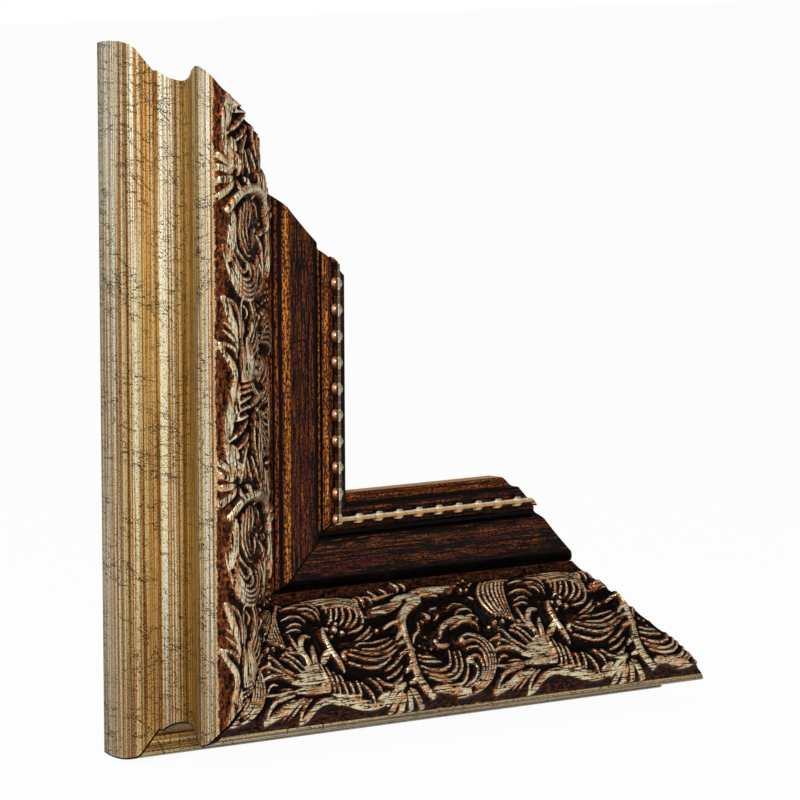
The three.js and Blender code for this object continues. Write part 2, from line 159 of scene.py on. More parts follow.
def add_object(name, data):
    """A new object in the scene."""
    made = bpy.data.objects.new(name, data)
    bpy.context.scene.collection.objects.link(made)
    return made


def new_piece(name, verts, faces, face_materials, materials, attributes, sharp):
    """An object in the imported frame, with point attributes in millimetres and smooth shading."""
    mesh = bpy.data.meshes.new(name)
    mesh.from_pydata([tuple(v) for v in verts], [], faces)
    for material in materials:
        mesh.materials.append(material)
    mesh.polygons.foreach_set("material_index", np.asarray(face_materials, np.int32))
    for key, values in attributes.items():
        layer = mesh.attributes.new(key, "FLOAT", "POINT")
        layer.data.foreach_set("value", np.asarray(values, np.float32).ravel())
    outward = bmesh.new()
    outward.from_mesh(mesh)
    bmesh.ops.recalc_face_normals(outward, faces=outward.faces)
    outward.to_mesh(mesh)
    outward.free()
    mesh.polygons.foreach_set("use_smooth", np.ones(len(mesh.polygons), bool))
    mesh.set_sharp_from_angle(angle=math.radians(sharp))
    return add_object(name, mesh)


def settle(piece, node):
    """The piece rides on the corner's one body and stands for its solid."""
    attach(piece, "root")
    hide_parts(node)
    return piece


def quads(grid):
    """Faces between the rows and columns of a grid of vertex numbers."""
    corners = [grid[:-1, :-1], grid[1:, :-1], grid[1:, 1:], grid[:-1, 1:]]
    return np.stack(corners, -1).reshape(-1, 4).tolist()


def sweep(name, side, runs, kit):
    """A closed section swept along a rail, mitred at both ends."""
    section = np.vstack([points[:-1] for points, _ in runs])
    keys = [key for points, key in runs for _ in range(len(points) - 1)]
    slots = sorted(set(keys) | {"bare_wood"})
    lengths = np.hypot(*np.diff(section, axis=0, append=section[:1]).T)
    across = np.concatenate([[0], np.cumsum(lengths)[:-1]])
    share = np.linspace(0, 1, SWEEP_STEPS + 1)[:, None]
    u, v = section[None, :, 0], section[None, :, 1]
    along = (u + MITRE_INSET) * (1 - share) + (RAIL_LENGTH - u) * share
    verts = place(side, u, v, along).reshape(-1, 3)
    grid = np.arange(len(verts)).reshape(along.shape)
    faces = quads(np.hstack([grid, grid[:, :1]])) + [grid[0].tolist(), grid[-1].tolist()]
    face_materials = [slots.index(key) for key in keys * SWEEP_STEPS + [keys[0], "bare_wood"]]
    edge = along - u - MITRE_INSET
    attributes = {"along": along, "across": np.broadcast_to(across, along.shape), "edge": edge}
    return new_piece(name, verts, faces, face_materials, [kit[k] for k in slots], attributes, SHARP_MOULDING)


# Relief of the frieze: strokes in s along the rail and w across the band, over one repeat

PERIOD = 102.4
BAND = 50.2
CELL = 0.2
TILE_ROWS = int(round(BAND / CELL)) + 1
TILE_COLUMNS = int(round(PERIOD / CELL))
# strokes: factor on their widths, share of the length that tapers, least radius and share of the rise
WIDEN = 1.6
TAPER = 0.3
LEAST_RADIUS = 0.35
LEAST_RISE = 0.35
# gilded share of a narrow and of a broad stroke, the width from which it is broad, and the soft rim
NARROW_GILT = 0.5
BROAD_GILT = 0.7
BROAD = 1.75
GILT_RIM = 0.4
# heights of the plain sheet and of the ground between close ribs, and the ribs' share of their rise
SHEET = 0.3
LIFT = 0.9
RIB_SHARE = 0.8
# mm over which masses, surface and gilding are eased, and the reach and full depth of a hollow
MASS_EASE = 0.8
SURFACE_EASE = 0.18
GILT_EASE = 0.12
HOLLOW_REACH = 1.4
HOLLOW_DEPTH = 0.7


def curve(points, spacing=0.25):
    """Points every spacing mm along a smooth curve through the given ones."""
    p = np.array(points, float)
    p = np.vstack([2 * p[0] - p[1], p, 2 * p[-1] - p[-2]])
    out = []
    for a, b, c, d in zip(p[:-3], p[1:-2], p[2:-1], p[3:]):
        count = max(2, int(np.hypot(*(c - b)) / spacing))
        t = np.arange(count)[:, None] / count
        bend = (c - a) * t + (2 * a - 5 * b + 4 * c - d) * t**2 + (3 * b - a - 3 * c + d) * t**3
        out.append(b + 0.5 * bend)
    return np.vstack(out + [p[-2:-1]])


def between(first, last, count):
    """A family of strokes, from the first to the last."""
    a, b = np.array(first, float), np.array(last, float)
    return [a + (b - a) * k / (count - 1) for k in range(count)]


class Relief:
    """One repeat of the carving: height of its ribs, their gilding, and the masses that carry them."""

    def __init__(self):
        self.height, self.paint, self.mass = (np.zeros((TILE_ROWS, TILE_COLUMNS)) for _ in range(3))

    def near(self, s, w, radius):
        """Cells around a point, wrapped along the repeat, and their distance as a share of the radius."""
        reach = int(radius / CELL) + 2
        row, column = int(round(w / CELL)), int(round(s / CELL))
        rows = np.arange(max(0, row - reach), min(TILE_ROWS, row + reach + 1))
        columns = np.arange(column - reach, column + reach + 1)
        away = np.hypot((rows * CELL - w)[:, None], (columns * CELL - s)[None, :]) / radius
        return np.ix_(rows, columns % TILE_COLUMNS), away

    def dab(self, s, w, radius, rise, cover=0.75):
        """A dome, gilded out to a share of its radius."""
        cells, away = self.near(s, w, radius)
        dome = rise * np.clip(1 - away**2, 0, 1) ** 0.6
        self.height[cells] = np.maximum(self.height[cells], dome)
        self.paint[cells] = np.maximum(self.paint[cells], np.clip((cover - away) / GILT_RIM + 0.5, 0, 1))

    def dabs(self, spots, *shape):
        """Domes of one rise, each at its s and w with its radius."""
        for spot in spots:
            self.dab(*spot, *shape)

    def stroke(self, points, width, rise=1.3, ends=(0.5, 0.5)):
        """A rib with tapered ends; narrow ribs are gilded on their crests only."""
        path = curve(points)
        cover = NARROW_GILT if width < BROAD else BROAD_GILT
        t = np.linspace(0, 1, len(path))
        first, last = (end + (1 - end) * way / TAPER for end, way in zip(ends, (t, 1 - t)))
        for (s, w), size in zip(path, np.clip(np.minimum(first, last), 0, 1)):
            radius = max(LEAST_RADIUS, WIDEN * width / 2 * size)
            self.dab(s, w, radius, rise * (LEAST_RISE + (1 - LEAST_RISE) * size), cover)

    def strokes(self, paths, *shape):
        """Ribs of one width, rise and taper."""
        for path in paths:
            self.stroke(path, *shape)

    def swell(self, points, width, rise, gilt):
        """A mass that carries ribs; gilt is how far it is rubbed with gold itself."""
        for s, w in curve(points, 0.5):
            cells, away = self.near(s, w, width / 2)
            self.mass[cells] = np.maximum(self.mass[cells], rise * np.clip(1 - away**2, 0, 1))
            self.paint[cells] = np.maximum(self.paint[cells], gilt * np.clip((0.95 - away) / 0.3, 0, 1))

    def tile(self):
        """Height over the bed in mm, gilding, and depth among the neighbours."""
        held = np.clip(self.height / 0.6, 0, 1)
        close = blur(np.clip(blur(held, 1.0) * 2.0, 0, 1), 0.9)
        ground = SHEET + LIFT * close + blur(self.mass, MASS_EASE)
        height = blur(ground + RIB_SHARE * self.height, SURFACE_EASE)
        hollow = np.clip((blur(height, HOLLOW_REACH) - height) / HOLLOW_DEPTH, 0, 1)
        return height, blur(self.paint, GILT_EASE), hollow


def blur(cells, sigma):
    """Gaussian blur by sigma mm; the repeat wraps, and the edges of the band are held."""
    spread = sigma / CELL
    reach = int(3 * spread) + 1
    weights = np.exp(-0.5 * (np.arange(-reach, reach + 1) / spread) ** 2)
    weights /= weights.sum()
    wrapped = sum(w * np.roll(cells, k - reach, axis=1) for k, w in enumerate(weights))
    held = np.pad(wrapped, ((reach, reach), (0, 0)), mode="edge")
    return sum(w * held[k:k + cells.shape[0]] for k, w in enumerate(weights))


def carve_masses(relief):
    """The swellings under leaves and scrolls: path, width, rise and gilt."""
    for mass in (
        ([(30, 7), (42, 9), (56, 10)], 8, 1.0, 0.25),
        ([(34, 19), (46, 17), (56, 16)], 9, 1.4, 0.3),
        ([(36, 24), (48, 22), (55, 22)], 9, 0.9, 0.1),
        ([(47, 44), (42, 37), (40, 28)], 14, 2.0, 0.1),
        ([(56, 41), (66, 43), (76, 42.5), (82, 39), (79, 34)], 10, 1.1, 0.12),
        ([(64, 33), (64, 25), (66, 18)], 5, 1.3, 0.2),
        ([(74, 21), (82, 19), (92, 21)], 16, 3.0, 0.0),
        ([(58, 14), (70, 11), (80, 11), (88, 10)], 9, 2.2, 0.05),
        ([(92, 8), (91, 3)], 9, 0.7, 0.05),
        ([(111, 40), (100, 33), (97, 22), (98, 11), (104, 7)], 6, 1.4, 0.55),
        ([(90, 38), (104, 40), (112, 42)], 6, 1.2, 0.45),
        ([(84, 43), (98, 44), (108, 47)], 6, 0.7, 0.15),
        ([(104, 14), (112, 11), (124, 10), (128, 17), (123, 21)], 14, 1.7, 0.1),
        ([(113, 25), (122, 30), (132, 28)], 7, 1.2, 0.25),
        ([(111, 43), (120, 43.5), (128, 44)], 6, 1.3, 0.45),
        ([(110, 33), (118, 35), (132, 34)], 8, 0.5, 0.0),
        ([(130, 45), (138, 44)], 6, 0.6, 0.0),
    ):
        relief.swell(*mass)


def carve_great_leaf(relief):
    """The leaf beside the gilded band: lower lobes, main vein, body with its fingers and horns."""
    stroke = relief.stroke
    # lower lobes, each a loop around a dark eye
    stroke([(43, 11.3), (38, 10.7), (34, 9.8), (31.4, 8), (30, 6), (29.3, 4)], 1.4)
    stroke([(29.3, 3.9), (32, 5), (36, 6.4), (39, 8), (42, 9.4)], 2.4, 1.4, (0.8, 0.5))
    stroke([(37.3, 4.2), (38.6, 5.6), (41, 7.6), (44, 9.3), (46.5, 10.2)], 1.3)
    stroke([(39.9, 4), (41.5, 5.6), (44, 8), (47.5, 9.8)], 1.3)
    stroke([(49.8, 9.4), (47, 8.2), (45.3, 6), (44.5, 3.8), (44.4, 1.9)], 1.5, 1.3, (0.4, 0.8))
    stroke([(44.6, 2.2), (48, 4.3), (51, 6.7), (54, 8), (58, 8.2), (62, 7)], 2.0, 1.6, (0.9, 0.6))
    # main vein and the small veins along it
    stroke([(29.3, 12.2), (32, 12.4), (36, 11.9), (41, 12.4), (45, 12.4)], 1.4, 1.5)
    stroke([(44.5, 12.3), (50, 12.3), (57, 11.8)], 2.3, 1.8, (0.6, 0.8))
    stroke([(32, 12.8), (33.2, 14.5), (35, 15.4), (37.3, 15.1)], 0.9)
    stroke([(37, 13.7), (40, 13.6), (43, 13.3)], 0.8)
    stroke([(30.5, 17), (33.5, 17.8), (37, 18.1), (40.5, 17), (44, 15.6)], 1.3)
    # body
    stroke([(43.5, 15.2), (48, 14.8), (56, 14.6)], 2.6, 1.7, (0.4, 0.9))
    stroke([(46.5, 17.2), (51, 17), (55.5, 16.6)], 2.6, 1.7, (0.4, 0.9))
    stroke([(50.5, 19.3), (53, 19), (55, 18.4)], 2.4, 1.7, (0.6, 0.9))
    # fingers that reach up and back
    stroke([(46, 17), (43, 18.6), (41, 20.3), (39.4, 22.8), (37.6, 25)], 1.5, 1.5)
    stroke([(44.6, 15.8), (41.6, 17.2), (39.2, 19.2), (37, 20.6), (34.5, 21.8), (31.8, 21.2)], 1.3)
    stroke([(48.2, 18.4), (46.4, 20.6), (44.6, 22.8), (42, 24)], 1.3, 1.4)
    stroke([(50, 20), (48.2, 22), (46, 24.4), (44.6, 25.6)], 1.4, 1.5)
    stroke([(52.4, 20.4), (52, 23.4), (50.6, 25), (48, 25.6), (46, 26)], 1.4, 1.4)
    tips = [(36.2, 22.4, 1.3), (34.4, 19.6, 1.0), (37.2, 24.6, 1.3), (43.6, 25, 0.9), (45.6, 25.9, 0.9)]
    relief.dabs(tips, 1.6, 0.6)
    # horns
    stroke([(51.1, 33), (50.9, 29), (51.2, 26), (52.6, 21.5)], 1.5, 1.6, (0.4, 1))
    stroke([(59.5, 31.4), (56.4, 31.3), (54, 29.3), (52.6, 26.2), (52.7, 22), (53, 18.5)], 1.9, 1.8, (0.5, 1))
    stroke([(58.8, 27.8), (57, 25.2), (55.6, 21.8), (54.8, 17.5), (54.8, 14)], 2.1, 1.8, (0.4, 1))


def carve_hood(relief):
    """The ribbed S leaf, the hood beside it, and what hangs beneath the hood."""
    first = [(53, 44.3), (49.8, 43.4), (47.6, 40), (46.8, 36), (46.4, 31), (46.8, 27)]
    last = [(40.4, 44.6), (38, 42), (36.4, 39), (36, 36), (36.8, 32.5), (38.2, 29.5)]
    relief.strokes(between(first, last, 7), 1.15, 1.4, (0.8, 0.6))
    buds = [(36.3, 27.2, 1.5), (39.6, 26.9, 1.3), (44.9, 28, 1.4), (33.7, 26, 1.1), (42.2, 29, 1.0),
            (48.3, 27.2, 1.4), (41, 31.4, 0.8), (38, 30, 0.9)]
    relief.dabs(buds, 1.9, 0.62)
    # thin arcs in the shade of the hood, and the claws at its root
    arcs = [[(51, 38.8), (54, 39.3), (57.5, 38.9), (61, 37.4)],
            [(52, 42.4), (55, 42.8), (58, 42.5), (61.4, 41.2)],
            [(52, 36), (55, 36.5), (58.4, 36.1)], [(50.6, 34), (54, 34.5), (57, 34)],
            [(57, 44.2), (60.6, 44.2), (64.4, 43.2), (66.8, 41.5), (67.8, 39.4)],
            [(59.6, 42.2), (63.4, 41.3), (66, 39.6), (67.4, 37.4)],
            [(60.5, 40.2), (63, 39.4), (65, 37.8)], [(66.6, 43.6), (69.2, 42.8), (70.8, 41), (70.9, 39.2)]]
    relief.strokes(arcs, 1.05)
    # crown of the hood
    first = [(62, 45.4), (70, 45.6), (78, 45.1), (82.8, 43), (85.2, 39.6), (85.6, 36)]
    last = [(69.5, 41.2), (73, 41.2), (77.5, 41), (80.4, 40.2), (82.2, 38.8), (82.6, 37)]
    relief.strokes(between(first, last, 4), 1.2, 1.6)
    # ribs that hang from it
    ribs = [[(85, 38.6), (84.4, 35.4), (82.6, 32.6), (79.6, 31), (76.4, 31)],
            [(82.6, 39), (82, 36.4), (80.2, 34.2), (77.6, 32.6)],
            [(80.2, 39.6), (79.6, 37), (78, 35), (75.8, 33.2)],
            [(77.6, 40), (77, 37.8), (75.6, 35.6), (74, 34.4)],
            [(75.2, 40.2), (74.6, 38.2), (73.2, 36.4)],
            [(72.8, 40.2), (72.2, 38.4), (71, 36.6), (69.8, 35.4)]]
    relief.strokes(ribs, 1.2, 1.5, (0.8, 0.5))
    # pearls and petal
    pearls = [(70.5, 32.6, 1.7), (73.1, 31, 1.4), (72.2, 34.6, 1.2), (68.2, 30.1, 0.9), (67.3, 33, 1.0),
              (71, 36.4, 1.1)]
    relief.dabs(pearls, 2.1, 0.7)
    relief.stroke([(59.3, 21), (61, 22.4), (63, 24.6)], 2.2, 1.4, (0.7, 0.7))
    petal = [(66.8, 34.2), (64.9, 32.4), (63.9, 29), (64.3, 25), (65.3, 21), (66.8, 17)]
    relief.stroke(petal, 2.2, 1.7, (0.3, 0.4))
    relief.stroke([(68.4, 20.5), (67.8, 22), (69.6, 23.4)], 1.6, 1.7)


def carve_bowl(relief):
    """The bowl of long arcs, the comb of the lower leaf beneath it, and the fan at the foot of the stem."""
    stroke = relief.stroke
    arcs = [[(74.5, 24.6), (77, 25.3), (82, 25.2), (87, 25.7), (91, 26.5)],
            [(76, 22.8), (82, 22.4), (87, 23.4), (91, 25)],
            [(71.5, 23.4), (75, 21.6), (80, 20.7), (85, 20.9), (88, 21.8), (91.5, 23.3)],
            [(69.6, 22.4), (71.4, 20.9), (75, 19.5), (80, 18.6), (85, 19.3), (91.5, 21.7)],
            [(69, 19.2), (73, 17.3), (78, 16.3), (82, 16.9), (86.5, 18.7)],
            [(83.2, 15), (87, 16.5), (91.5, 18.9)],
            [(83.2, 12.8), (87, 13.8), (91.2, 16)],
            [(85.3, 11), (88, 11.6), (91.4, 13.4)]]
    relief.strokes(arcs, 1.15, 1.4, (0.7, 0.5))
    stroke([(76.8, 27.3), (80, 28.4), (84, 30.4), (87, 32.6)], 1.2)
    stroke([(79.5, 26.8), (83, 28), (86.5, 30)], 0.9, 1.1)
    relief.dab(88.4, 30.3, 1.2, 1.7)
    stroke([(83.6, 35.8), (86, 36), (88.2, 36.2)], 0.9, 1.0)
    # comb
    spine = [(58, 8.6), (62, 7.7), (66, 6.6), (72, 4.9), (78, 4.8), (83, 6.2), (86, 9), (91, 10.4)]
    stroke(spine, 2.0, 1.5, (0.8, 0.7))
    stroke([(66, 7.8), (71, 6.4), (75, 6.2)], 1.9, 1.4, (0.7, 0.7))
    stroke([(58, 10.2), (63, 9.2), (70, 8.6)], 1.3, 1.4)
    stroke([(78.5, 6.8), (81, 7.6), (83, 8.6)], 1.9)
    teeth = [[(57.2, 20), (57, 15), (57.6, 11)], [(59.3, 18.8), (58.8, 14.5), (59.6, 10.5)],
             [(61.2, 16.8), (60.7, 13.4), (61.7, 10)], [(63, 15.4), (63.3, 12), (65, 9)],
             [(66.2, 12.7), (66.6, 10.5), (67.6, 8)], [(69.2, 12.8), (69.5, 10.5), (70.5, 8)],
             [(71, 12.2), (73, 10.3), (75.4, 8), (77.4, 5.8)], [(75.4, 13.2), (77.4, 11.2), (79.8, 8.6)],
             [(78.4, 12.9), (81, 11.1), (85, 10.1), (90, 10)]]
    relief.strokes(teeth, 1.2, 1.9, (1.0, 0.6))
    # fan
    for path, width in (
        ([(89.6, 9.2), (86.4, 7), (82.6, 4.4)], 1.3),
        ([(89.4, 7.8), (86.6, 5.4), (84.2, 2.2)], 2.0),
        ([(90.4, 7.6), (89.2, 5.2), (88.2, 2)], 2.2),
        ([(92.1, 8.2), (92.4, 5.6), (92.5, 2.4)], 2.2),
        ([(93.2, 9), (95.8, 6.2), (98, 2.4)], 2.3),
    ):
        stroke(path, width, 1.5, (0.25, 1.0))


def carve_stem(relief):
    """The stem with its leaflets, and the leaves at the inner edge."""
    stroke = relief.stroke
    stem = [(111, 39.6), (106, 37.6), (101.6, 34.6), (99, 30.4), (97.6, 25), (96.8, 20), (96.4, 15),
            (97.4, 11.4), (99.8, 8), (102.6, 5.4)]
    stroke(stem, 2.7, 2.3, (1, 0.7))
    stroke([(107, 39.3), (109, 39.8), (111, 40)], 3.6, 2.2, (0.7, 0.8))
    leaflets = [[(91.6, 19.6), (94, 20.3), (96, 21)], [(92.6, 25), (95, 26.6), (97, 28)],
                [(92, 30.8), (95, 32), (98, 32.6)], [(92.6, 14), (94, 15), (96, 17)],
                [(93.6, 10.6), (95.5, 11.2), (97, 12)], [(92, 22.8), (94.4, 23.6), (96.6, 24.6)]]
    relief.strokes(leaflets, 1.6, 1.6, (0.7, 0.7))
    relief.dabs([(93.4, 14.7, 1.2), (95.3, 11, 1.2)], 2.0)
    # saw-toothed leaf
    stroke([(92, 42.4), (98, 43.3), (103, 44.6)], 1.5, 1.4)
    for (s, w), tip in (
        ((85.2, 41), (84, 44)), ((88.2, 40.6), (86.8, 45)), ((91.6, 41), (89.6, 44.4)),
        ((94.5, 42.6), (92.4, 47)), ((99.5, 43.6), (97.8, 47.3)), ((105, 45.2), (103.3, 49)),
        ((108.4, 45.4), (106.3, 48.7)),
    ):
        middle = ((s + tip[0]) / 2 + 0.5, (w + tip[1]) / 2 + 0.2)
        stroke([(s, w), middle, tip], 1.5, 1.6, (0.7, 0.7))
    # spatula leaf
    stroke([(90.5, 38.6), (97, 38.9), (104, 40.2)], 1.5, 1.5)
    stroke([(89.5, 37.3), (95, 36.8), (100, 38), (104.5, 39.6)], 1.5, 1.5)
    stroke([(100.5, 41), (106, 41.9), (111.7, 41.7)], 2.0, 1.7)
    # bar leaf
    stroke([(110.8, 43.6), (115, 44.7), (120, 44.4), (125, 43.7), (127.3, 44)], 2.4, 1.8, (0.6, 0.6))
    stroke([(112.5, 41.2), (116, 42), (121.5, 41)], 1.5, 1.4)
    stroke([(113, 43), (118, 42.8), (124.6, 42.2)], 1.2, 1.4)


def carve_scroll(relief):
    """The round scroll and the small leaves above it."""
    stroke = relief.stroke
    outer = [(125, 24.9), (130, 23.5), (132.8, 20), (133.3, 16), (132, 12), (129, 8.5), (124, 5.8),
             (119, 4.4), (114, 3.9)]
    stroke(outer, 1.4, 1.6)
    turns = [[(121, 23.2), (125, 24), (129.5, 22), (131.5, 18), (131, 13), (128, 9), (124, 6.8)],
             [(121.5, 21.2), (126, 21.8), (129, 19.5), (130, 16), (129, 12), (126, 8.5), (122, 6.3)],
             [(122, 19), (126, 19.3), (128, 17), (128, 13), (125.5, 9.5), (121.5, 7)],
             [(120.6, 15.6), (124.5, 16.5), (126.3, 14.5), (125.5, 11), (122.5, 8.5), (119, 6.8)],
             [(120.5, 14.8), (123, 14), (123.5, 11.5), (121, 9), (117, 7.3)]]
    relief.strokes(turns, 1.2, 1.5, (0.8, 0.6))
    root = [[(101, 19.5), (103.5, 18), (107.5, 17.7)], [(100, 17.6), (103, 16.3), (109.5, 16)],
            [(99.6, 15.5), (103, 13.8), (108, 13.2), (112, 14.5), (114.5, 18), (115, 19.7)],
            [(100.5, 13.4), (104, 12), (109, 11.2), (113.5, 12.5), (116, 15.5), (117, 19)],
            [(102, 11.4), (107, 10), (112, 10), (116.5, 12.6), (118.5, 16), (118.8, 18.8)],
            [(105, 8.8), (111, 8), (116, 8.5), (119, 11.5), (120.3, 14)]]
    relief.strokes(root, 1.2, 1.4, (0.6, 0.6))
    stroke([(104, 7.6), (108, 7.4), (113, 6.4), (119, 5.6)], 2.6, 1.6, (0.6, 0.6))
    relief.dab(122, 15.4, 1.7, 1.9)
    # small leaves, twigs and berries
    stroke([(101.3, 24), (103, 26.5), (106, 28.5), (107.5, 31.8)], 1.2)
    stroke([(112.5, 24.2), (115.5, 27.8), (120, 29.8), (125, 30.9), (130, 30.3)], 1.8, 1.8, (0.4, 0.6))
    stroke([(119.5, 27.3), (122, 28), (125, 29.2), (129.5, 28.8), (132.3, 26)], 1.1, 1.4)
    stroke([(110.3, 23.6), (111.4, 21.6), (114, 21.4), (116.5, 22)], 1.7, 1.5, (0.9, 0.5))
    relief.dab(121, 22.2, 1.3, 1.6)
    relief.dab(99.6, 21.6, 1.3, 1.5)
    for s, w in ((104, 23), (106, 22), (108.5, 21.5), (105.5, 19.8), (108.2, 26)):
        relief.dab(s, w, 0.6, 0.9)
    twigs = [[(111, 35.6), (112, 33.8), (113, 32.2)], [(115.4, 31.8), (117, 33), (117.8, 34)],
             [(108.6, 32.2), (109.6, 31)], [(115.6, 36.4), (117, 36), (119, 36.8)],
             [(123.5, 36), (127, 37), (131.5, 35.8)],
             [(124.8, 32.9), (127.5, 34.2), (131, 34.3), (133, 33.3)],
             [(127.6, 30.9), (131, 31.6), (134.6, 30.4)], [(131.5, 28.7), (133.5, 30)],
             [(135, 39.5), (136.6, 38)]]
    relief.strokes(twigs, 1.15)
    relief.dab(112.4, 33, 1.5, 1.9)
    berries = [(130.7, 44.6, 1.3), (133, 46.2, 0.9), (135.6, 47, 0.9), (137.2, 44, 1.0), (138.6, 45, 0.9),
               (133, 42.4, 1.1), (135.6, 42.2, 1.0)]
    relief.dabs(berries, 1.5, 0.6)


def carve():
    """The acanthus leaves and scrolls of one repeat."""
    relief = Relief()
    for part in (carve_masses, carve_great_leaf, carve_hood, carve_bowl, carve_stem, carve_scroll):
        part(relief)
    return relief.tile()


# Materials

# dark line at a mitre: mm from the joint at which it begins and is full
MITRE_LINE = (0.4, 0.2)
# painted light and shade on all of a rail's gilding, the left rail lightened and the bottom rail darkened as
# each is lit, and the brightest value that a tone may reach
RAIL_LIGHT_AND_SHADE = {"left": (1.18, 1.21, 1.18), "bottom": (0.8, 0.77, 0.66)}
LIGHTEST = 250
# painted light: how the left rail's gold darkens and greys towards the corner and is fullest at its top end,
# by mm along the rail
LEFT_LIGHT_FALLOFF = {"left": [(0, (210, 198, 182)), (25, (212, 200, 184)), (65, (230, 220, 203)),
                   (110, (233, 223, 206)), (150, (238, 231, 217)), (207, (255, 255, 255))]}
# how far the mitre of the round band gapes
BAND_JOINT = {"left": 0.0, "bottom": 2.0}
# lacquer of the frieze: its dark, its brown and its amber, darker on the bottom rail as painted shade
GROUND = {"left": ((22, 11, 8), (92, 44, 22), (150, 82, 36)),
          "bottom": ((10, 6, 5), (54, 26, 16), (90, 48, 24))}
# where the worn border of the gilded band ends, in mm across the frieze before its raggedness
BORDER_RIM = {"left": -0.7, "bottom": -1.8}
# how much of a rib's paint is left before it counts as a gilded crest
CREST = {"left": 0.6, "bottom": 0.62}
# red, green and blue of a zone's darker, paler and lightest lines, against its middle tone
GILDING_DARK = (0.68, 0.5, 0.2)
GILDING_PALE = (1.15, 1.27, 1.45)
GILDING_LIGHT = (1.16, 1.36, 1.72)
# mm across the sections that the tables below run over
STRIP_SPAN = 28.0
FRIEZE_SPAN = 34.0
SIGHT_SPAN = 48.0
# tones of a pearl, by mm to the inner side of its middle as the camera sees it, and their range: rubbed cream
# and copper with painted highlights, painted bright lines and painted black shade at the rims
PEARL_TURN = (-2.4, 2.6)
PEARL_TONES = {
    "left": [(-2.3, (14, 8, 6)), (-1.6, (110, 56, 28)), (-1.0, (206, 128, 76)), (-0.3, (176, 100, 48)),
             (0.2, (88, 46, 22)), (0.82, (50, 30, 16)), (0.92, (238, 226, 190)), (1.08, (226, 212, 172)),
             (1.18, (70, 56, 36)), (1.35, (200, 188, 146)), (1.75, (176, 164, 122)), (1.85, (84, 70, 46)),
             (1.95, (170, 158, 118)), (2.3, (140, 128, 92))],
    "bottom": [(-1.75, (12, 8, 6)), (-1.6, (240, 228, 204)), (-1.3, (214, 186, 140)), (-0.9, (176, 124, 62)),
               (0.1, (210, 160, 92)), (0.35, (236, 212, 168)), (0.5, (252, 246, 226)),
               (0.72, (250, 242, 220)), (0.82, (104, 90, 62)), (0.95, (186, 176, 140)),
               (1.5, (160, 150, 116)), (1.6, (12, 8, 6))],
}
PEARL_RADIUS = 2.3
# length of painted shade at each end of a bar, where it meets a pearl
BAR_END = 0.1
# how dim the bars are, glint and shade on the copper, and reach of the cream
PEARL_MARKS = {"left": (0.85, 0.7, 9.0), "bottom": (0.0, 0.0, 2.5)}
# gilded zones: mm across the section, then the middle tone
STRIP_ZONES = [
    (0.0, (150, 128, 95)), (4.0, (190, 170, 136)), (6.5, (232, 216, 186)), (9.0, (194, 166, 126)),
    (13.5, (180, 146, 102)), (16.0, (142, 106, 64)), (17.2, (206, 176, 132)), (18.3, (230, 203, 158)),
    (19.4, (228, 192, 134)), (21.0, (196, 156, 100)), (22.4, (212, 168, 102)), (24.2, (250, 206, 130)),
    (25.4, (180, 122, 52)), (26.4, (226, 186, 132)), (27.8, (190, 146, 88)),
]
FRIEZE_ZONES = [
    (0.0, (140, 96, 40)), (1.6, (172, 122, 56)), (2.6, (218, 192, 150)), (4.4, (214, 187, 144)),
    (6.5, (184, 156, 116)), (9.0, (160, 122, 74)), (11.5, (156, 116, 60)), (16.0, (162, 116, 52)),
    (22.6, (164, 117, 50)), (24.6, (168, 127, 66)), (27.0, (170, 130, 74)), (27.5, (80, 58, 36)),
    (28.2, (160, 136, 102)), (28.9, (124, 98, 66)), (29.5, (214, 190, 150)), (30.3, (166, 138, 98)),
    (31.0, (236, 216, 186)), (31.8, (158, 132, 98)), (32.4, (246, 222, 180)), (33.2, (232, 200, 152)),
]
# share of amber across the sight moulding: slope, crest, flat, groove, rise, seat, step and lip; the rails
# differ partly as painted light and shade, the left slope lit amber and the bottom slope painted black
SIGHT_COVER = {
    "left": [(0.0, 0.05), (0.5, 0.1), (0.8, 0.5), (1.5, 0.5), (1.8, 0.12), (2.2, 0.2), (2.5, 0.54),
             (3.6, 0.52), (3.9, 0.13), (4.9, 0.15), (5.5, 0.64), (7.8, 0.66), (8.5, 0.42), (10, 0.39),
             (14, 0.43), (18, 0.38), (18.9, 0.2), (19.3, 0.0), (23.0, 0.0), (23.25, 0.66), (24.0, 0.66),
             (24.2, 0.0), (24.8, 0.0), (24.95, 0.56), (26.8, 0.62), (27.3, 0.44), (33, 0.32),
             (34.3, 0.12), (36, 0.1), (41, 0.3)],
    "bottom": [(0.0, 0.0), (7.2, 0.0), (8.0, 0.3), (9.4, 0.36), (13, 0.37), (15, 0.33), (18, 0.42),
               (19.2, 0.38), (20.6, 0.3), (21.6, 0.0), (23.6, 0.0), (24.2, 0.36), (26.4, 0.45),
               (27.2, 0.36), (33.2, 0.34), (33.8, 0.0), (37.0, 0.0), (38.0, 0.5), (41.0, 0.48)],
}


def srgb(red, green, blue):
    """A colour given in 0 to 255, as it is seen, for a linear shader socket."""
    def linear(c):
        c /= 255
        return c / 12.92 if c <= 0.04045 else ((c + 0.055) / 1.055) ** 2.4
    return (linear(red), linear(green), linear(blue), 1.0)


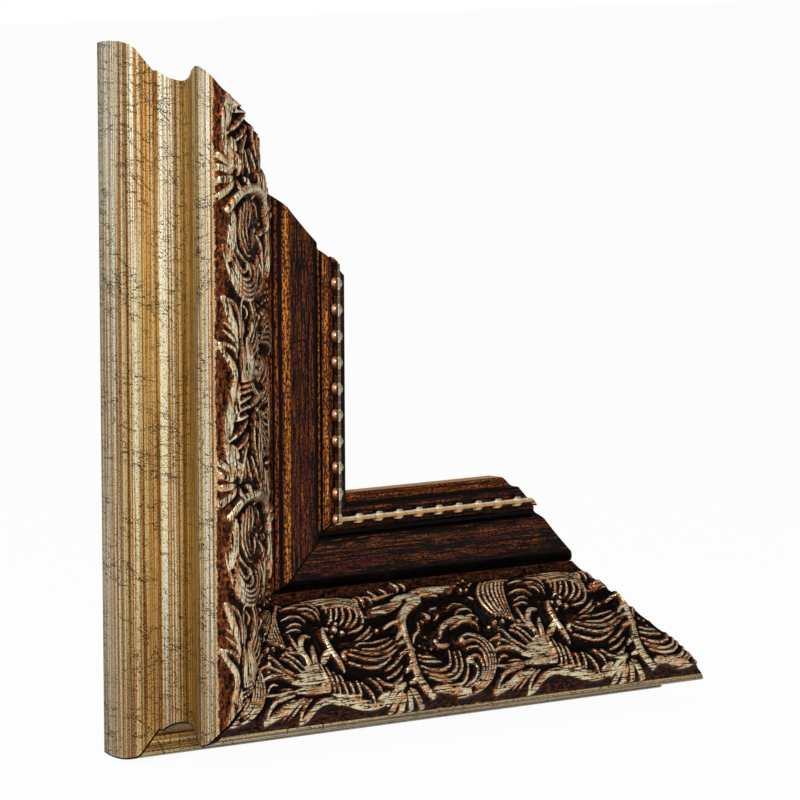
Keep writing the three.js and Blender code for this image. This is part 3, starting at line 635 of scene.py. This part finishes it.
class Nodes:
    """The node tree of a material or a world, with short calls for the nodes used here."""

    def __init__(self, owner, seed=0.0):
        owner.use_nodes = True
        self.owner = owner
        self.tree = owner.node_tree
        self.seed = seed

    def node(self, kind, inputs=(), **settings):
        node = self.tree.nodes.new(kind)
        for key, value in settings.items():
            setattr(node, key, value)
        for key, value in dict(inputs).items():
            self.put(node.inputs[key], value)
        return node

    def put(self, socket, value):
        if isinstance(value, bpy.types.NodeSocket):
            self.tree.links.new(value, socket)
        else:
            socket.default_value = value

    def attributes(self, *names):
        return [self.node("ShaderNodeAttribute", attribute_name=name).outputs["Fac"] for name in names]

    def math(self, operation, a, b=0.0):
        return self.node("ShaderNodeMath", {0: a, 1: b}, operation=operation).outputs[0]

    def add(self, a, b):
        return self.math("ADD", a, b)

    def minus(self, a, b):
        return self.math("SUBTRACT", a, b)

    def times(self, a, b):
        return self.math("MULTIPLY", a, b)

    def most(self, first, *others):
        for other in others:
            first = self.math("MAXIMUM", first, other)
        return first

    def noise(self, vector, detail=2.0, roughness=0.5, scale=1.0):
        inputs = {"Vector": vector, "Scale": scale, "Detail": detail, "Roughness": roughness}
        return self.node("ShaderNodeTexNoise", inputs).outputs["Fac"]

    def drawn(self, x, y, step, detail=2.0, roughness=0.5):
        """Noise over two values, apart from other noises by a step of the seed."""
        spot = self.node("ShaderNodeCombineXYZ", {0: x, 1: y, 2: self.seed + step}).outputs[0]
        return self.noise(spot, detail, roughness)

    def rail(self, per_along, per_across, *recipe):
        """Noise drawn out along the rail: its steps per mm along and across."""
        return self.drawn(self.times(self.along, per_along), self.times(self.across, per_across), *recipe)

    def band(self, value, low, high):
        """0 below low, 1 above high, eased between; falls instead where low is above high."""
        inputs = {"Value": value, "From Min": low, "From Max": high}
        return self.node("ShaderNodeMapRange", inputs, interpolation_type="SMOOTHSTEP").outputs["Result"]

    def line(self, value, level, half_width):
        """1 where the value passes a level, so that contours of a noise become fine lines."""
        away = self.math("ABSOLUTE", self.minus(value, level))
        return self.band(away, half_width, half_width * 0.3)

    def mix(self, factor, a, b, blend="MIX"):
        """Two colours mixed; a tone of 0 to 255 may stand for either."""
        node = self.node("ShaderNodeMix", data_type="RGBA", blend_type=blend)
        for index, value in ((0, factor), (6, a), (7, b)):
            self.put(node.inputs[index], srgb(*value) if isinstance(value, tuple) else value)
        return node.outputs[2]

    def lay(self, colour, *coats):
        """Coats over a colour: each a tone, the value that places it, its low and high, and its amount."""
        for tone, value, low, high, *amount in coats:
            share = self.band(value, low, high)
            colour = self.mix(self.times(share, *amount) if amount else share, colour, tone)
        return colour

    def ramp(self, value, stops, low=0.0, high=1.0):
        """Tones, or levels of grey, at stops between a low and a high value."""
        span = high - low
        share = value if span == 1.0 else self.times(self.minus(value, low), 1 / span)
        node = self.node("ShaderNodeValToRGB", {"Fac": share})
        elements = node.color_ramp.elements
        while len(elements) < len(stops):
            elements.new(1.0)
        for element, (at, tone) in zip(elements, stops):
            element.position = (at - low) / span
            element.color = srgb(*tone) if isinstance(tone, tuple) else (tone, tone, tone, 1.0)
        return node.outputs["Color"]

    def bump(self, height, strength, distance_mm):
        inputs = {"Height": height, "Strength": strength, "Distance": distance_mm * MM}
        return self.node("ShaderNodeBump", inputs).outputs["Normal"]

    def finish(self, **sockets):
        """Fills the named sockets of the shader and gives the material."""
        shader = self.tree.nodes["Principled BSDF"]
        for key, value in sockets.items():
            self.put(shader.inputs[key.replace("_", " ").title().replace("Ior", "IOR")], value)
        return self.owner

    def show(self, output, factor, first, second):
        """Two shaders mixed into the tree's output."""
        mix = self.node("ShaderNodeMixShader", {0: factor, 1: first.outputs[0], 2: second.outputs[0]})
        self.tree.links.new(mix.outputs[0], self.tree.nodes[output].inputs["Surface"])


def material_nodes(name, seed=0.0):
    """The nodes of a new material."""
    return Nodes(bpy.data.materials.new(name), seed)


def rail_nodes(name, seed):
    """Nodes of a material that follows a rail: mm along it, across it and from its mitre."""
    n = material_nodes(name, seed)
    n.along, n.across, n.edge = n.attributes("along", "across", "edge")
    return n


def line_tone(tone, factors, rail_light):
    """A zone's tone times the factors of one kind of line and its rail's painted light and shade, held under
    white without a change of hue.
    """
    raised = [c * f * d for c, f, d in zip(tone, factors, rail_light)]
    return tuple(c * min(1, LIGHTEST / max(raised)) for c in raised)


def gilding_material(name, seed, zones, width, side, joint):
    """Champagne gilding: each zone's tone in darker and paler lines along the rail, specks and cracks."""
    n = rail_nodes(name, seed)
    # each zone's tone carries its rail's painted light and shade
    middle, dark, pale, light = (
        n.ramp(n.across, [(at, line_tone(tone, factors, RAIL_LIGHT_AND_SHADE[side])) for at, tone in zones], 0.0, width)
        for factors in ((1, 1, 1), GILDING_DARK, GILDING_PALE, GILDING_LIGHT)
    )
    lines = n.add(n.times(n.rail(0.0025, 0.8, 0), 0.35), n.times(n.rail(0.005, 1.7, 3, 1.0), 0.65))
    colour = n.lay(middle, (dark, lines, 0.48, 0.45), (pale, lines, 0.52, 0.55))
    # hairlines, then grain
    hair = n.rail(0.004, 0.75, 5, 1.0)
    shaded = n.mix(1.0, dark, (190, 170, 140), "MULTIPLY")
    colour = n.mix(n.times(n.line(hair, 0.5, 0.1), 0.6), colour, shaded)
    colour = n.mix(n.times(n.line(hair, 0.6, 0.08), 0.9), colour, light)
    grain = n.rail(1.9, 2.7, 7, 1.0, 0.6)
    colour = n.lay(colour, (dark, grain, 0.55, 0.62, 0.7), (light, grain, 0.43, 0.35, 0.5))
    # painted light on the left rail, dimmer towards the corner
    if side in LEFT_LIGHT_FALLOFF:
        colour = n.mix(1.0, colour, n.ramp(n.along, LEFT_LIGHT_FALLOFF[side], 0.0, RAIL_LENGTH), "MULTIPLY")
    # thin cracks across the rail, and specks
    cluster = n.rail(0.06, 0.06, 9)
    contour = n.rail(0.3, 0.07, 11, 2.0, 0.55)
    leaning = n.add(n.times(n.along, 0.14), n.times(n.across, 0.12))
    slant = n.drawn(leaning, n.times(n.across, 0.05), 13)
    crack = n.most(n.line(contour, 0.5, 0.024), n.line(slant, 0.52, 0.012))
    crack = n.times(n.times(crack, n.band(grain, 0.42, 0.48)), n.band(cluster, 0.38, 0.52))
    speck = n.add(n.rail(1.4, 1.5, 15, 0.0), n.times(cluster, 0.06))
    wear = n.most(crack, n.band(speck, 0.73, 0.77))
    colour = n.mix(n.times(wear, 0.9), colour, (46, 26, 9))
    # dark line at the mitre, wider where the round band gapes
    opened = n.times(n.band(n.across, 28.5, 32.5), joint)
    colour = n.lay(colour, ((20, 15, 12), n.minus(n.edge, opened), *MITRE_LINE))
    height = n.minus(n.times(lines, 0.8), wear)
    return n.finish(base_color=colour, metallic=0.35, roughness=0.36, specular_ior_level=0.04,
                    normal=n.bump(height, 0.3, 0.12))


def bare_wood_material(name, seed, side):
    """Pale sawn softwood, with its rings along the rail."""
    n = material_nodes(name, seed)
    spot = n.node("ShaderNodeTexCoord").outputs["Object"]
    x, y, z = n.node("ShaderNodeSeparateXYZ", {0: spot}).outputs
    along, inward = (z, x) if side == "left" else (x, z)
    n.along, n.across = n.times(along, 1 / MM), n.times(n.add(inward, y), 1 / MM)
    rings = n.rail(0.006, 0.35, 0, 4.0, 0.6)
    fibre = n.rail(0.05, 3.0, 2)
    fleck = n.noise(spot, 3.0, 0.6, 900.0)
    colour = n.ramp(rings, [(0.3, (206, 170, 122)), (0.5, (190, 150, 100)), (0.7, (158, 114, 72))])
    colour = n.lay(colour, ((136, 96, 58), fibre, 0.5, 0.75, 0.45), ((112, 78, 48), fleck, 0.55, 0.75, 0.3))
    return n.finish(base_color=colour, roughness=0.8, normal=n.bump(fibre, 0.3, 0.15))


def dark_wood_material(name, seed, cover):
    """Black lacquer rubbed through to brown and amber in a web of dashes; cover is the amber's share."""
    n = rail_nodes(name, seed)
    amount = n.ramp(n.across, cover, 0.0, SIGHT_SPAN)
    web = n.rail(0.1, 1.7, 0, 4.0, 0.7)
    streak = n.rail(0.012, 1.0, 2, 3.0, 0.6)
    drift = n.rail(0.02, 0.1, 4)
    dots = n.rail(0.8, 1.6, 6, 2.0, 0.6)
    level = n.add(n.times(web, 2.4), n.add(n.times(streak, 1.4), n.times(drift, 0.6)))
    level = n.add(level, n.times(amount, 2.0))
    amber = n.band(level, 3.36, 3.6)
    black = n.band(n.add(dots, n.times(amount, 0.12)), 0.55, 0.6)
    brown = n.lay((116, 60, 26), ((94, 42, 28), drift, 0.42, 0.58))
    colour = n.lay((18, 12, 11), (brown, level, 2.84, 3.2))
    colour = n.mix(amber, colour, (202, 122, 44))
    colour = n.lay(colour, ((244, 184, 92), level, 3.75, 4.1))
    colour = n.mix(n.times(black, 0.9), colour, (12, 9, 9))
    # near black where the amber share is near none, painted shade on the bottom rail's slope and in the
    # groove; then the dark line at the mitre
    colour = n.lay(colour, ((5, 3, 2), amount, 0.12, 0.02), ((6, 5, 5), n.edge, *MITRE_LINE))
    metal = n.times(n.times(amber, n.minus(1.0, black)), 0.45)
    height = n.minus(n.times(web, 0.6), black)
    return n.finish(base_color=colour, metallic=metal, roughness=0.36, specular_ior_level=0.05,
                    normal=n.bump(height, 0.25, 0.1))


def ornament_material(name, seed, ground, rim, crest):
    """Dark lacquer, brown and copper flanks, and crests rubbed with champagne gold along the rail."""
    n = rail_nodes(name, seed)
    paint, hollow = n.attributes("paint", "hollow")
    worn = n.rail(0.9, 1.1, 0, 3.0, 0.6)
    wear = n.minus(worn, 0.5)
    fleck = n.rail(2.2, 2.2, 1, 3.0, 0.65)
    blotch = n.rail(0.2, 0.22, 4)
    # lacquer, browner on the plain strips
    streak = n.rail(0.16, 1.0, 6, 4.0, 0.7)
    mottle = n.rail(0.5, 0.9, 2, 3.0, 0.7)
    plain = n.most(n.band(n.across, 8.0, 4.0), n.band(n.across, 45.0, 47.5))
    stain = n.add(n.times(n.add(streak, mottle), 0.5), n.times(plain, 0.04))
    black, brown, amber = ground
    colour = n.lay(black, (n.lay(brown, (amber, mottle, 0.5, 0.62)), stain, 0.48, 0.56))
    # brown flanks, copper in places with painted pinkish glints, then the pale crests with painted highlights
    cover = n.add(paint, n.times(wear, 0.8))
    flank = n.band(cover, 0.24, 0.5)
    gold = n.band(cover, crest, crest + 0.14)
    copper = n.times(flank, n.band(blotch, 0.47, 0.57))
    colour = n.mix(flank, colour, n.lay((24, 14, 9), ((108, 62, 30), fleck, 0.42, 0.6)))
    copper_and_glints = n.lay((92, 44, 24), ((206, 122, 70), fleck, 0.45, 0.6), ((248, 200, 164), fleck, 0.58, 0.66))
    colour = n.mix(n.times(copper, 0.85), colour, copper_and_glints)
    rubbed = n.add(n.rail(0.14, 2.0, 12, 2.0, 0.6), n.times(wear, 0.5))
    pale = n.lay(
        (218, 204, 166),
        ((206, 156, 104), blotch, 0.44, 0.62),
        ((252, 246, 230), fleck, 0.52, 0.64, 0.7),
        ((104, 68, 34), rubbed, 0.48, 0.56, 0.9),
        ((28, 16, 9), rubbed, 0.56, 0.62),
    )
    colour = n.mix(gold, colour, pale)
    # near black in the hollows by the ribs: dark lacquer pooled there, and painted shade
    hollow_lacquer_and_shade = n.times(n.band(hollow, 0.08, 0.42), n.minus(0.95, n.times(plain, 0.6)))
    colour = n.mix(hollow_lacquer_and_shade, colour, (6, 4, 3))
    # worn border of the band's gilding
    ragged = n.add(n.rail(0.5, 0.3, 8, 4.0, 0.7), n.rail(0.03, 0.02, 9))
    border = n.band(n.minus(n.across, n.times(ragged, 2.6)), rim, rim - 0.4)
    colour = n.mix(border, colour, n.lay((214, 188, 144), ((140, 108, 68), fleck, 0.42, 0.58)))
    colour = n.lay(colour, ((6, 5, 5), n.edge, 0.45, 0.2))
    metal = n.times(n.most(gold, copper), 0.5)
    return n.finish(base_color=colour, metallic=metal, roughness=0.28, specular_ior_level=0.04,
                    normal=n.bump(n.minus(worn, rubbed), 0.4, 0.15))


def pearl_material(name, seed, tones, dim, glint, flare):
    """Rubbed cream beyond a painted bright line, copper with a glint before it, and black in the shade."""
    n = material_nodes(name, seed)
    along, rise, turned, offset = n.attributes("along", "rise", "turned", "offset")
    worn = n.drawn(n.times(along, 0.9), n.times(rise, 1.4), 0, 3.0, 0.6)
    fine = n.drawn(n.times(along, 0.8), n.times(turned, 3.4), 2, 3.0, 0.7)
    level = n.add(turned, n.times(n.minus(worn, 0.5), 0.3))
    aside = n.math("ABSOLUTE", offset)
    colour = n.lay(
        n.ramp(level, tones, *PEARL_TURN),
        ((84, 62, 38), fine, 0.54, 0.64, 0.6),
        ((66, 46, 27), aside, PEARL_RADIUS - 0.3, PEARL_RADIUS, dim),
    )
    ends = n.line(aside, PEARL_RADIUS + BAR_END / 2, BAR_END)
    under = n.times(n.band(offset, -0.1, -1.0), n.band(turned, 0.9, 0.6))
    beyond = n.times(n.band(n.add(aside, turned), flare, flare + 0.3), n.band(turned, 0.8, 0.9))
    shade = n.most(ends, n.times(under, glint), n.band(rise, 1.3, 0.7), beyond)
    gleam = n.times(n.line(offset, 0.7, 0.9), n.line(turned, -0.7, 0.8))
    colour = n.mix(n.times(gleam, 0.85 * glint), colour, (255, 232, 214))
    colour = n.mix(shade, colour, (9, 6, 5))
    return n.finish(base_color=colour, metallic=0.4, roughness=0.24, specular_ior_level=0.3,
                    normal=n.bump(worn, 0.15, 0.1))


def steel_material(name):
    """Plain spring steel with drawn lines."""
    n = material_nodes(name)
    spot = n.node("ShaderNodeTexCoord").outputs["Object"]
    lines = n.noise(n.node("ShaderNodeMapping", {"Vector": spot, "Scale": (400, 6000, 400)}).outputs[0])
    colour = n.ramp(lines, [(0.3, (120, 122, 126)), (0.7, (176, 178, 182))])
    return n.finish(base_color=colour, metallic=1.0, roughness=0.38, normal=n.bump(lines, 0.2, 0.05))


def rail_materials(side, seed):
    """The materials of one rail, by the keys of its sections."""
    return {
        "strip": gilding_material(f"{side}_strip_gilding", seed + 1, STRIP_ZONES, STRIP_SPAN, side, 0.0),
        "frieze": gilding_material(f"{side}_frieze_gilding", seed + 4, FRIEZE_ZONES, FRIEZE_SPAN, side,
                                   BAND_JOINT[side]),
        "bare_wood": bare_wood_material(f"{side}_bare_wood", seed + 6, side),
        "dark_wood": dark_wood_material(f"{side}_dark_wood", seed + 8, SIGHT_COVER[side]),
        "ornament": ornament_material(f"{side}_gilded_ornament", seed + 11, GROUND[side], BORDER_RIM[side],
                                      CREST[side]),
        "pearl": pearl_material(f"{side}_gilded_pearls", seed + 14, PEARL_TONES[side], *PEARL_MARKS[side]),
    }


# Ornament

EASE_NORMALS = 2.0
BED_STEPS = (400, 60)
BAND_START = 1.0
BAND_STOP = 49.6
ORNAMENT_COLUMNS = 150
ORNAMENT_ROWS = 640
# rise over the glue line, and how the relief sinks at the edges of the band
SKIN = 0.05
EDGE_WIDTH = 1.2
EDGE_RISE = 0.25
# length at each mitre over which the raised surface is drawn into the mitre plane
SLIDE = 5.0
# the left rail's pattern runs the other way, back from this point
MIRROR_POINT = 186.0


def smooth_bed(steps):
    """The bed and its inner strip as (u, v) points with eased normals, at equal steps."""
    path = bed_curve(*BED_STEPS)
    travel = np.concatenate([[0], np.cumsum(np.hypot(*np.diff(path, axis=0).T))])
    even = np.linspace(0, travel[-1], steps + 1)
    points = np.stack([np.interp(even, travel, path[:, k]) for k in (0, 1)], -1)
    tangent = np.gradient(points, axis=0)
    ease = max(1, int(EASE_NORMALS / (travel[-1] / steps)))
    kernel = np.ones(2 * ease + 1) / (2 * ease + 1)
    padded = np.pad(tangent, ((ease, ease), (0, 0)), "edge")
    tangent = np.stack([np.convolve(padded[:, k], kernel, "valid") for k in (0, 1)], -1)
    tangent /= np.linalg.norm(tangent, axis=1, keepdims=True)
    return points, np.stack([-tangent[:, 1], tangent[:, 0]], -1)


def sample(tile, s, w):
    """The tile at any s along the rail and w across the band."""
    column = np.mod(s / CELL, TILE_COLUMNS)
    row = np.clip(w / CELL, 0, TILE_ROWS - 1.001)
    left, below = np.floor(column).astype(int), np.floor(row).astype(int)
    past, over = column - left, row - below
    right = (left + 1) % TILE_COLUMNS
    left = left % TILE_COLUMNS
    low, high = (tile[r, left] * (1 - past) + tile[r, right] * past for r in (below, below + 1))
    return low * (1 - over) + high * over


def ornament(side, tiles, material):
    """The pressed frieze: a closed sheet on the bed, raised along the bed's normals."""
    rows, columns = ORNAMENT_ROWS, ORNAMENT_COLUMNS
    points, normals = smooth_bed(columns)
    w = np.linspace(BAND_START, BAND_STOP, columns + 1)[None, :]
    u, v = points[None, :, 0], points[None, :, 1]
    share = np.linspace(0, 1, rows + 1)[:, None]
    start, stop = u + MITRE_INSET, RAIL_LENGTH - u
    s = start * (1 - share) + stop * share
    pattern = MIRROR_POINT - s if side == "left" else s
    height, paint, hollow = (sample(tile, pattern, w) for tile in tiles)
    edge = np.clip(np.minimum(w - BAND_START, BAND_STOP - w) / EDGE_WIDTH, 0, 1)
    rise = GLUE_LINE + SKIN + height * (EDGE_RISE + (1 - EDGE_RISE) * edge)
    top_u, top_v = u + normals[None, :, 0] * rise, v + normals[None, :, 1] * rise
    slide = top_u - u
    near_start, near_stop = (np.clip(1 - away / SLIDE, 0, 1) for away in (s - start, stop - s))
    top_s = s + slide * near_start - slide * near_stop
    foot_u, foot_v = (points + normals * GLUE_LINE).T
    foot_s = np.stack([foot_u + MITRE_INSET, RAIL_LENGTH - foot_u])
    verts = np.vstack([
        place(side, top_u, top_v, top_s).reshape(-1, 3),
        place(side, foot_u[None, :], foot_v[None, :], foot_s).reshape(-1, 3),
    ])
    grid = np.arange(s.size).reshape(s.shape)
    under = s.size + np.arange(foot_s.size).reshape(foot_s.shape)
    faces = quads(grid) + quads(under)
    for end in (0, -1):
        faces += quads(np.stack([grid[end], under[end]]))
        faces.append(grid[:, end].tolist() + under[::-1, end].tolist())
    foot = np.zeros(foot_s.size)
    shown = {"across": np.broadcast_to(w, s.shape), "paint": paint, "hollow": hollow, "edge": s - start}
    attributes = {key: np.concatenate([values.ravel(), foot]) for key, values in shown.items()}
    attributes["along"] = np.concatenate([s.ravel(), foot_s.ravel()])
    name = f"{side}_acanthus_frieze"
    return new_piece(name, verts, faces, [0] * len(faces), [material], attributes, SHARP_RELIEF)


# Pearls

# the string's line and foot in the section, the lift of a pearl's middle over the foot, and the pitch
PEARL_LINE = 76.0
PEARL_FOOT = 31.5
PEARL_LIFT = 0.8
PEARL_PITCH = 9.0
# half the bar's width, its height, and how square its section is
BAR_HALF = 0.75
BAR_HEIGHT = 2.7
BAR_SQUARENESS = 6
# how far a mm inward and a mm forward move a pearl's point inward in the picture
PEARL_VIEW = {"left": (0.766, 0.643), "bottom": (0.995, -0.076)}
PEARL_STEP = 0.25
PEARL_ARC = 24


def pearl_string(side, material):
    """Pearls linked by a bar: at each step along the rail the outer of bead and bar, seen from the foot."""
    reach = 2 * PEARL_RADIUS
    s = np.arange(PEARL_LINE - reach, RAIL_LENGTH - PEARL_LINE + reach, PEARL_STEP)[:, None]
    angle = np.linspace(0, math.pi, PEARL_ARC + 1)[None, :]
    cosine, sine = np.cos(angle), np.sin(angle)
    bar = np.abs(cosine / BAR_HALF) ** BAR_SQUARENESS + np.abs(sine / BAR_HEIGHT) ** BAR_SQUARENESS
    bar = 1 / bar ** (1 / BAR_SQUARENESS)
    offset = np.mod(s - PEARL_LINE + PEARL_PITCH / 2, PEARL_PITCH) - PEARL_PITCH / 2
    inside = PEARL_RADIUS**2 - offset**2 - (PEARL_LIFT * cosine) ** 2
    bead = np.where(inside > 0, PEARL_LIFT * sine + np.sqrt(np.maximum(inside, 0)), 0)
    size = np.maximum(bar, bead)
    u = PEARL_LINE - size * cosine
    v = PEARL_FOOT + size * sine
    verts = place(side, u, v, np.broadcast_to(s, u.shape)).reshape(-1, 3)
    grid = np.arange(len(verts)).reshape(-1, PEARL_ARC + 1)
    faces = quads(grid) + quads(grid[:, [0, -1]]) + [grid[0].tolist(), grid[-1].tolist()]
    inward, forward = PEARL_VIEW[side]
    turned = -size * cosine * inward + (size * sine - PEARL_LIFT) * forward
    attributes = {"along": np.broadcast_to(s, u.shape), "rise": size * sine, "turned": turned,
                  "offset": np.broadcast_to(offset, u.shape)}
    name = f"{side}_gilded_pearls"
    piece = new_piece(name, verts, faces, [0] * len(faces), [material], attributes, SHARP_PEARL)
    planes = mitre_planes()
    for key in (side, "tip"):
        cut_off(piece.data, *planes[key])
    return piece


def mitre_planes():
    """The mitre plane of each rail at the corner, and of both at the tip, as outward normals and points."""
    corner = Vector(place("left", 0.0, 0.0, 0.0))
    tip = Vector(place("left", 0.0, 0.0, RAIL_LENGTH))
    return {"left": (Vector((1, 0, -1)), corner + Vector((0, 0, MITRE_INSET * MM))),
            "bottom": (Vector((-1, 0, 1)), corner + Vector((MITRE_INSET * MM, 0, 0))),
            "tip": (Vector((1, 0, 1)), tip)}


def cut_off(mesh, normal, point):
    """Cuts away what lies beyond a plane and closes the cut."""
    cut = bmesh.new()
    cut.from_mesh(mesh)
    geometry = cut.verts[:] + cut.edges[:] + cut.faces[:]
    found = bmesh.ops.bisect_plane(cut, geom=geometry, plane_co=point, plane_no=normal, clear_outer=True)
    edges = [g for g in found["geom_cut"] if isinstance(g, bmesh.types.BMEdge)]
    bmesh.ops.triangle_fill(cut, edges=edges, use_beauty=True)
    bmesh.ops.recalc_face_normals(cut, faces=cut.faces)
    cut.to_mesh(mesh)
    cut.free()


# V-nails

NAIL_CLEARANCE = 0.3
NAIL_REACH = 1.5
WELD = 0.01


def cut_nail_slots(piece):
    """Opens the back of a strip around the V-nails, with a little clearance."""
    for name in NAILS:
        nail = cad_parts[name]
        grown = bmesh.new()
        grown.from_mesh(nail.data)
        grown.transform(nail.matrix_world)
        bmesh.ops.remove_doubles(grown, verts=grown.verts, dist=WELD * MM)
        bmesh.ops.recalc_face_normals(grown, faces=grown.faces)
        grown.normal_update()
        # a corner moves by the root of three where its three faces move by one
        for vert in grown.verts:
            vert.co += vert.normal * NAIL_CLEARANCE * MM * math.sqrt(3)
            if vert.co.y > -NAIL_REACH * MM:
                vert.co.y = NAIL_REACH * MM
        mesh = bpy.data.meshes.new("nail_slot")
        grown.to_mesh(mesh)
        grown.free()
        slot = add_object("nail_slot", mesh)
        cut = piece.modifiers.new("nail_slot", "BOOLEAN")
        cut.operation = "DIFFERENCE"
        cut.solver = "EXACT"
        cut.object = slot
        shaped = piece.evaluated_get(bpy.context.evaluated_depsgraph_get())
        piece.data = bpy.data.meshes.new_from_object(shaped)
        piece.modifiers.clear()
        bpy.data.objects.remove(slot)
    return piece


# Pieces

SEED_STEP = 20.0
tiles = carve()
kits = {side: rail_materials(side, SEED_STEP * index) for index, side in enumerate(SIDES)}

for side, kit in kits.items():
    piece = sweep(f"{side}_gilded_strip", side, back_strip_runs(), kit)
    settle(cut_nail_slots(piece), f"{side}_back_strip")
    piece = sweep(f"{side}_gilded_frieze", side, frieze_runs(), kit)
    settle(piece, f"{side}_frieze_moulding")
    piece = sweep(f"{side}_sight_edge", side, sight_runs(), kit)
    settle(piece, f"{side}_sight_moulding")
    settle(ornament(side, tiles, kit["ornament"]), f"{side}_frieze_ornament")
    settle(pearl_string(side, kit["pearl"]), f"{side}_pearl_string")

steel = steel_material("nail_steel_drawn")
for name in NAILS:
    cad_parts[name].data.materials.clear()
    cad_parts[name].data.materials.append(steel)


# Stage, in metres

FLOOR_SIZE = 12.0
FLOOR_DROP = 0.002
# how far the floor is plain white to the camera, the rest showing the shadow
FLOOR_WHITE = 0.965
FLOOR_GREY = (0.8, 0.8, 0.8, 1)
WHITE = (1, 1, 1, 1)
WORLD_STRENGTH = 0.26
# each lamp's name, direction from the corner's middle, distance, size and power in watts
LAMPS = (
    ("key", (-0.8, -0.75, 0.6), 1.4, 0.36, 14.5),
    ("top", (-0.1, -0.5, 1.0), 1.5, 0.8, 4),
)


def stage_floor():
    """A pale floor, white to the camera apart from the object's soft shadow."""
    height = cad_box[0][2] - FLOOR_DROP
    half = FLOOR_SIZE / 2
    corners = [(-half, -half), (half, -half), (half, half), (-half, half)]
    mesh = bpy.data.meshes.new("floor")
    mesh.from_pydata([(x, y, height) for x, y in corners], [], [(0, 1, 2, 3)])
    floor = add_object("floor", mesh)
    n = material_nodes("floor_white")
    n.finish(base_color=FLOOR_GREY, roughness=0.9)
    path = n.node("ShaderNodeLightPath").outputs
    seen = n.most(path["Is Camera Ray"], path["Is Glossy Ray"])
    white = n.node("ShaderNodeEmission", {"Color": WHITE, "Strength": 1.0})
    n.show("Material Output", n.times(seen, FLOOR_WHITE), n.tree.nodes["Principled BSDF"], white)
    mesh.materials.append(n.owner)


def stage_world():
    """Even soft light from all around, white to the camera."""
    n = Nodes(bpy.data.worlds.new("studio"))
    bpy.context.scene.world = n.owner
    soft = n.tree.nodes["Background"]
    soft.inputs["Strength"].default_value = WORLD_STRENGTH
    soft.inputs["Color"].default_value = WHITE
    white = n.node("ShaderNodeBackground", {"Color": WHITE, "Strength": 1.0})
    n.show("World Output", n.node("ShaderNodeLightPath").outputs["Is Camera Ray"], soft, white)


def soft_light(name, direction, distance, size, power):
    """A square lamp that faces the middle of the corner."""
    light = bpy.data.lights.new(name, "AREA")
    light.size = size
    light.energy = power
    lamp = add_object(name, light)
    target = (Vector(cad_box[0]) + Vector(cad_box[1])) / 2
    lamp.location = target + Vector(direction).normalized() * distance
    lamp.rotation_euler = (target - lamp.location).to_track_quat("-Z", "Y").to_euler()


# Camera: its angles, its place in mm from the corner, and its lens

CAMERA_TURN = math.radians(40.0)
CAMERA_TILT = math.radians(5.72)
CAMERA_ROLL = math.radians(-0.29)
CAMERA_PLACE = (-1150.4, -1527.7, 310.7)
FOCAL_PIXELS = 5703.0
IMAGE_PIXELS = 800.0
SENSOR = 36.0
CLIP_END = 50.0


def photo_camera():
    """The camera of the photograph, solved from the corner's edges."""
    forward = Vector((
        math.sin(CAMERA_TURN) * math.cos(CAMERA_TILT),
        math.cos(CAMERA_TURN) * math.cos(CAMERA_TILT),
        -math.sin(CAMERA_TILT),
    ))
    level = Vector((math.cos(CAMERA_TURN), -math.sin(CAMERA_TURN), 0))
    upright = level.cross(forward)
    right = math.cos(CAMERA_ROLL) * level + math.sin(CAMERA_ROLL) * upright
    up = -math.sin(CAMERA_ROLL) * level + math.cos(CAMERA_ROLL) * upright
    data = bpy.data.cameras.new("photo_camera")
    data.sensor_width = SENSOR
    data.lens = FOCAL_PIXELS / IMAGE_PIXELS * SENSOR
    data.clip_end = CLIP_END
    camera = add_object("photo_camera", data)
    spot = (Vector(CAMERA_PLACE) + Vector(CORNER)) * MM
    turn = Matrix((right, up, -forward)).transposed().to_4x4()
    camera.matrix_world = Matrix.Translation(spot) @ turn
    bpy.context.scene.camera = camera


stage_floor()
stage_world()
for lamp in LAMPS:
    soft_light(*lamp)
photo_camera()
bpy.context.scene.view_settings.view_transform = "Standard"
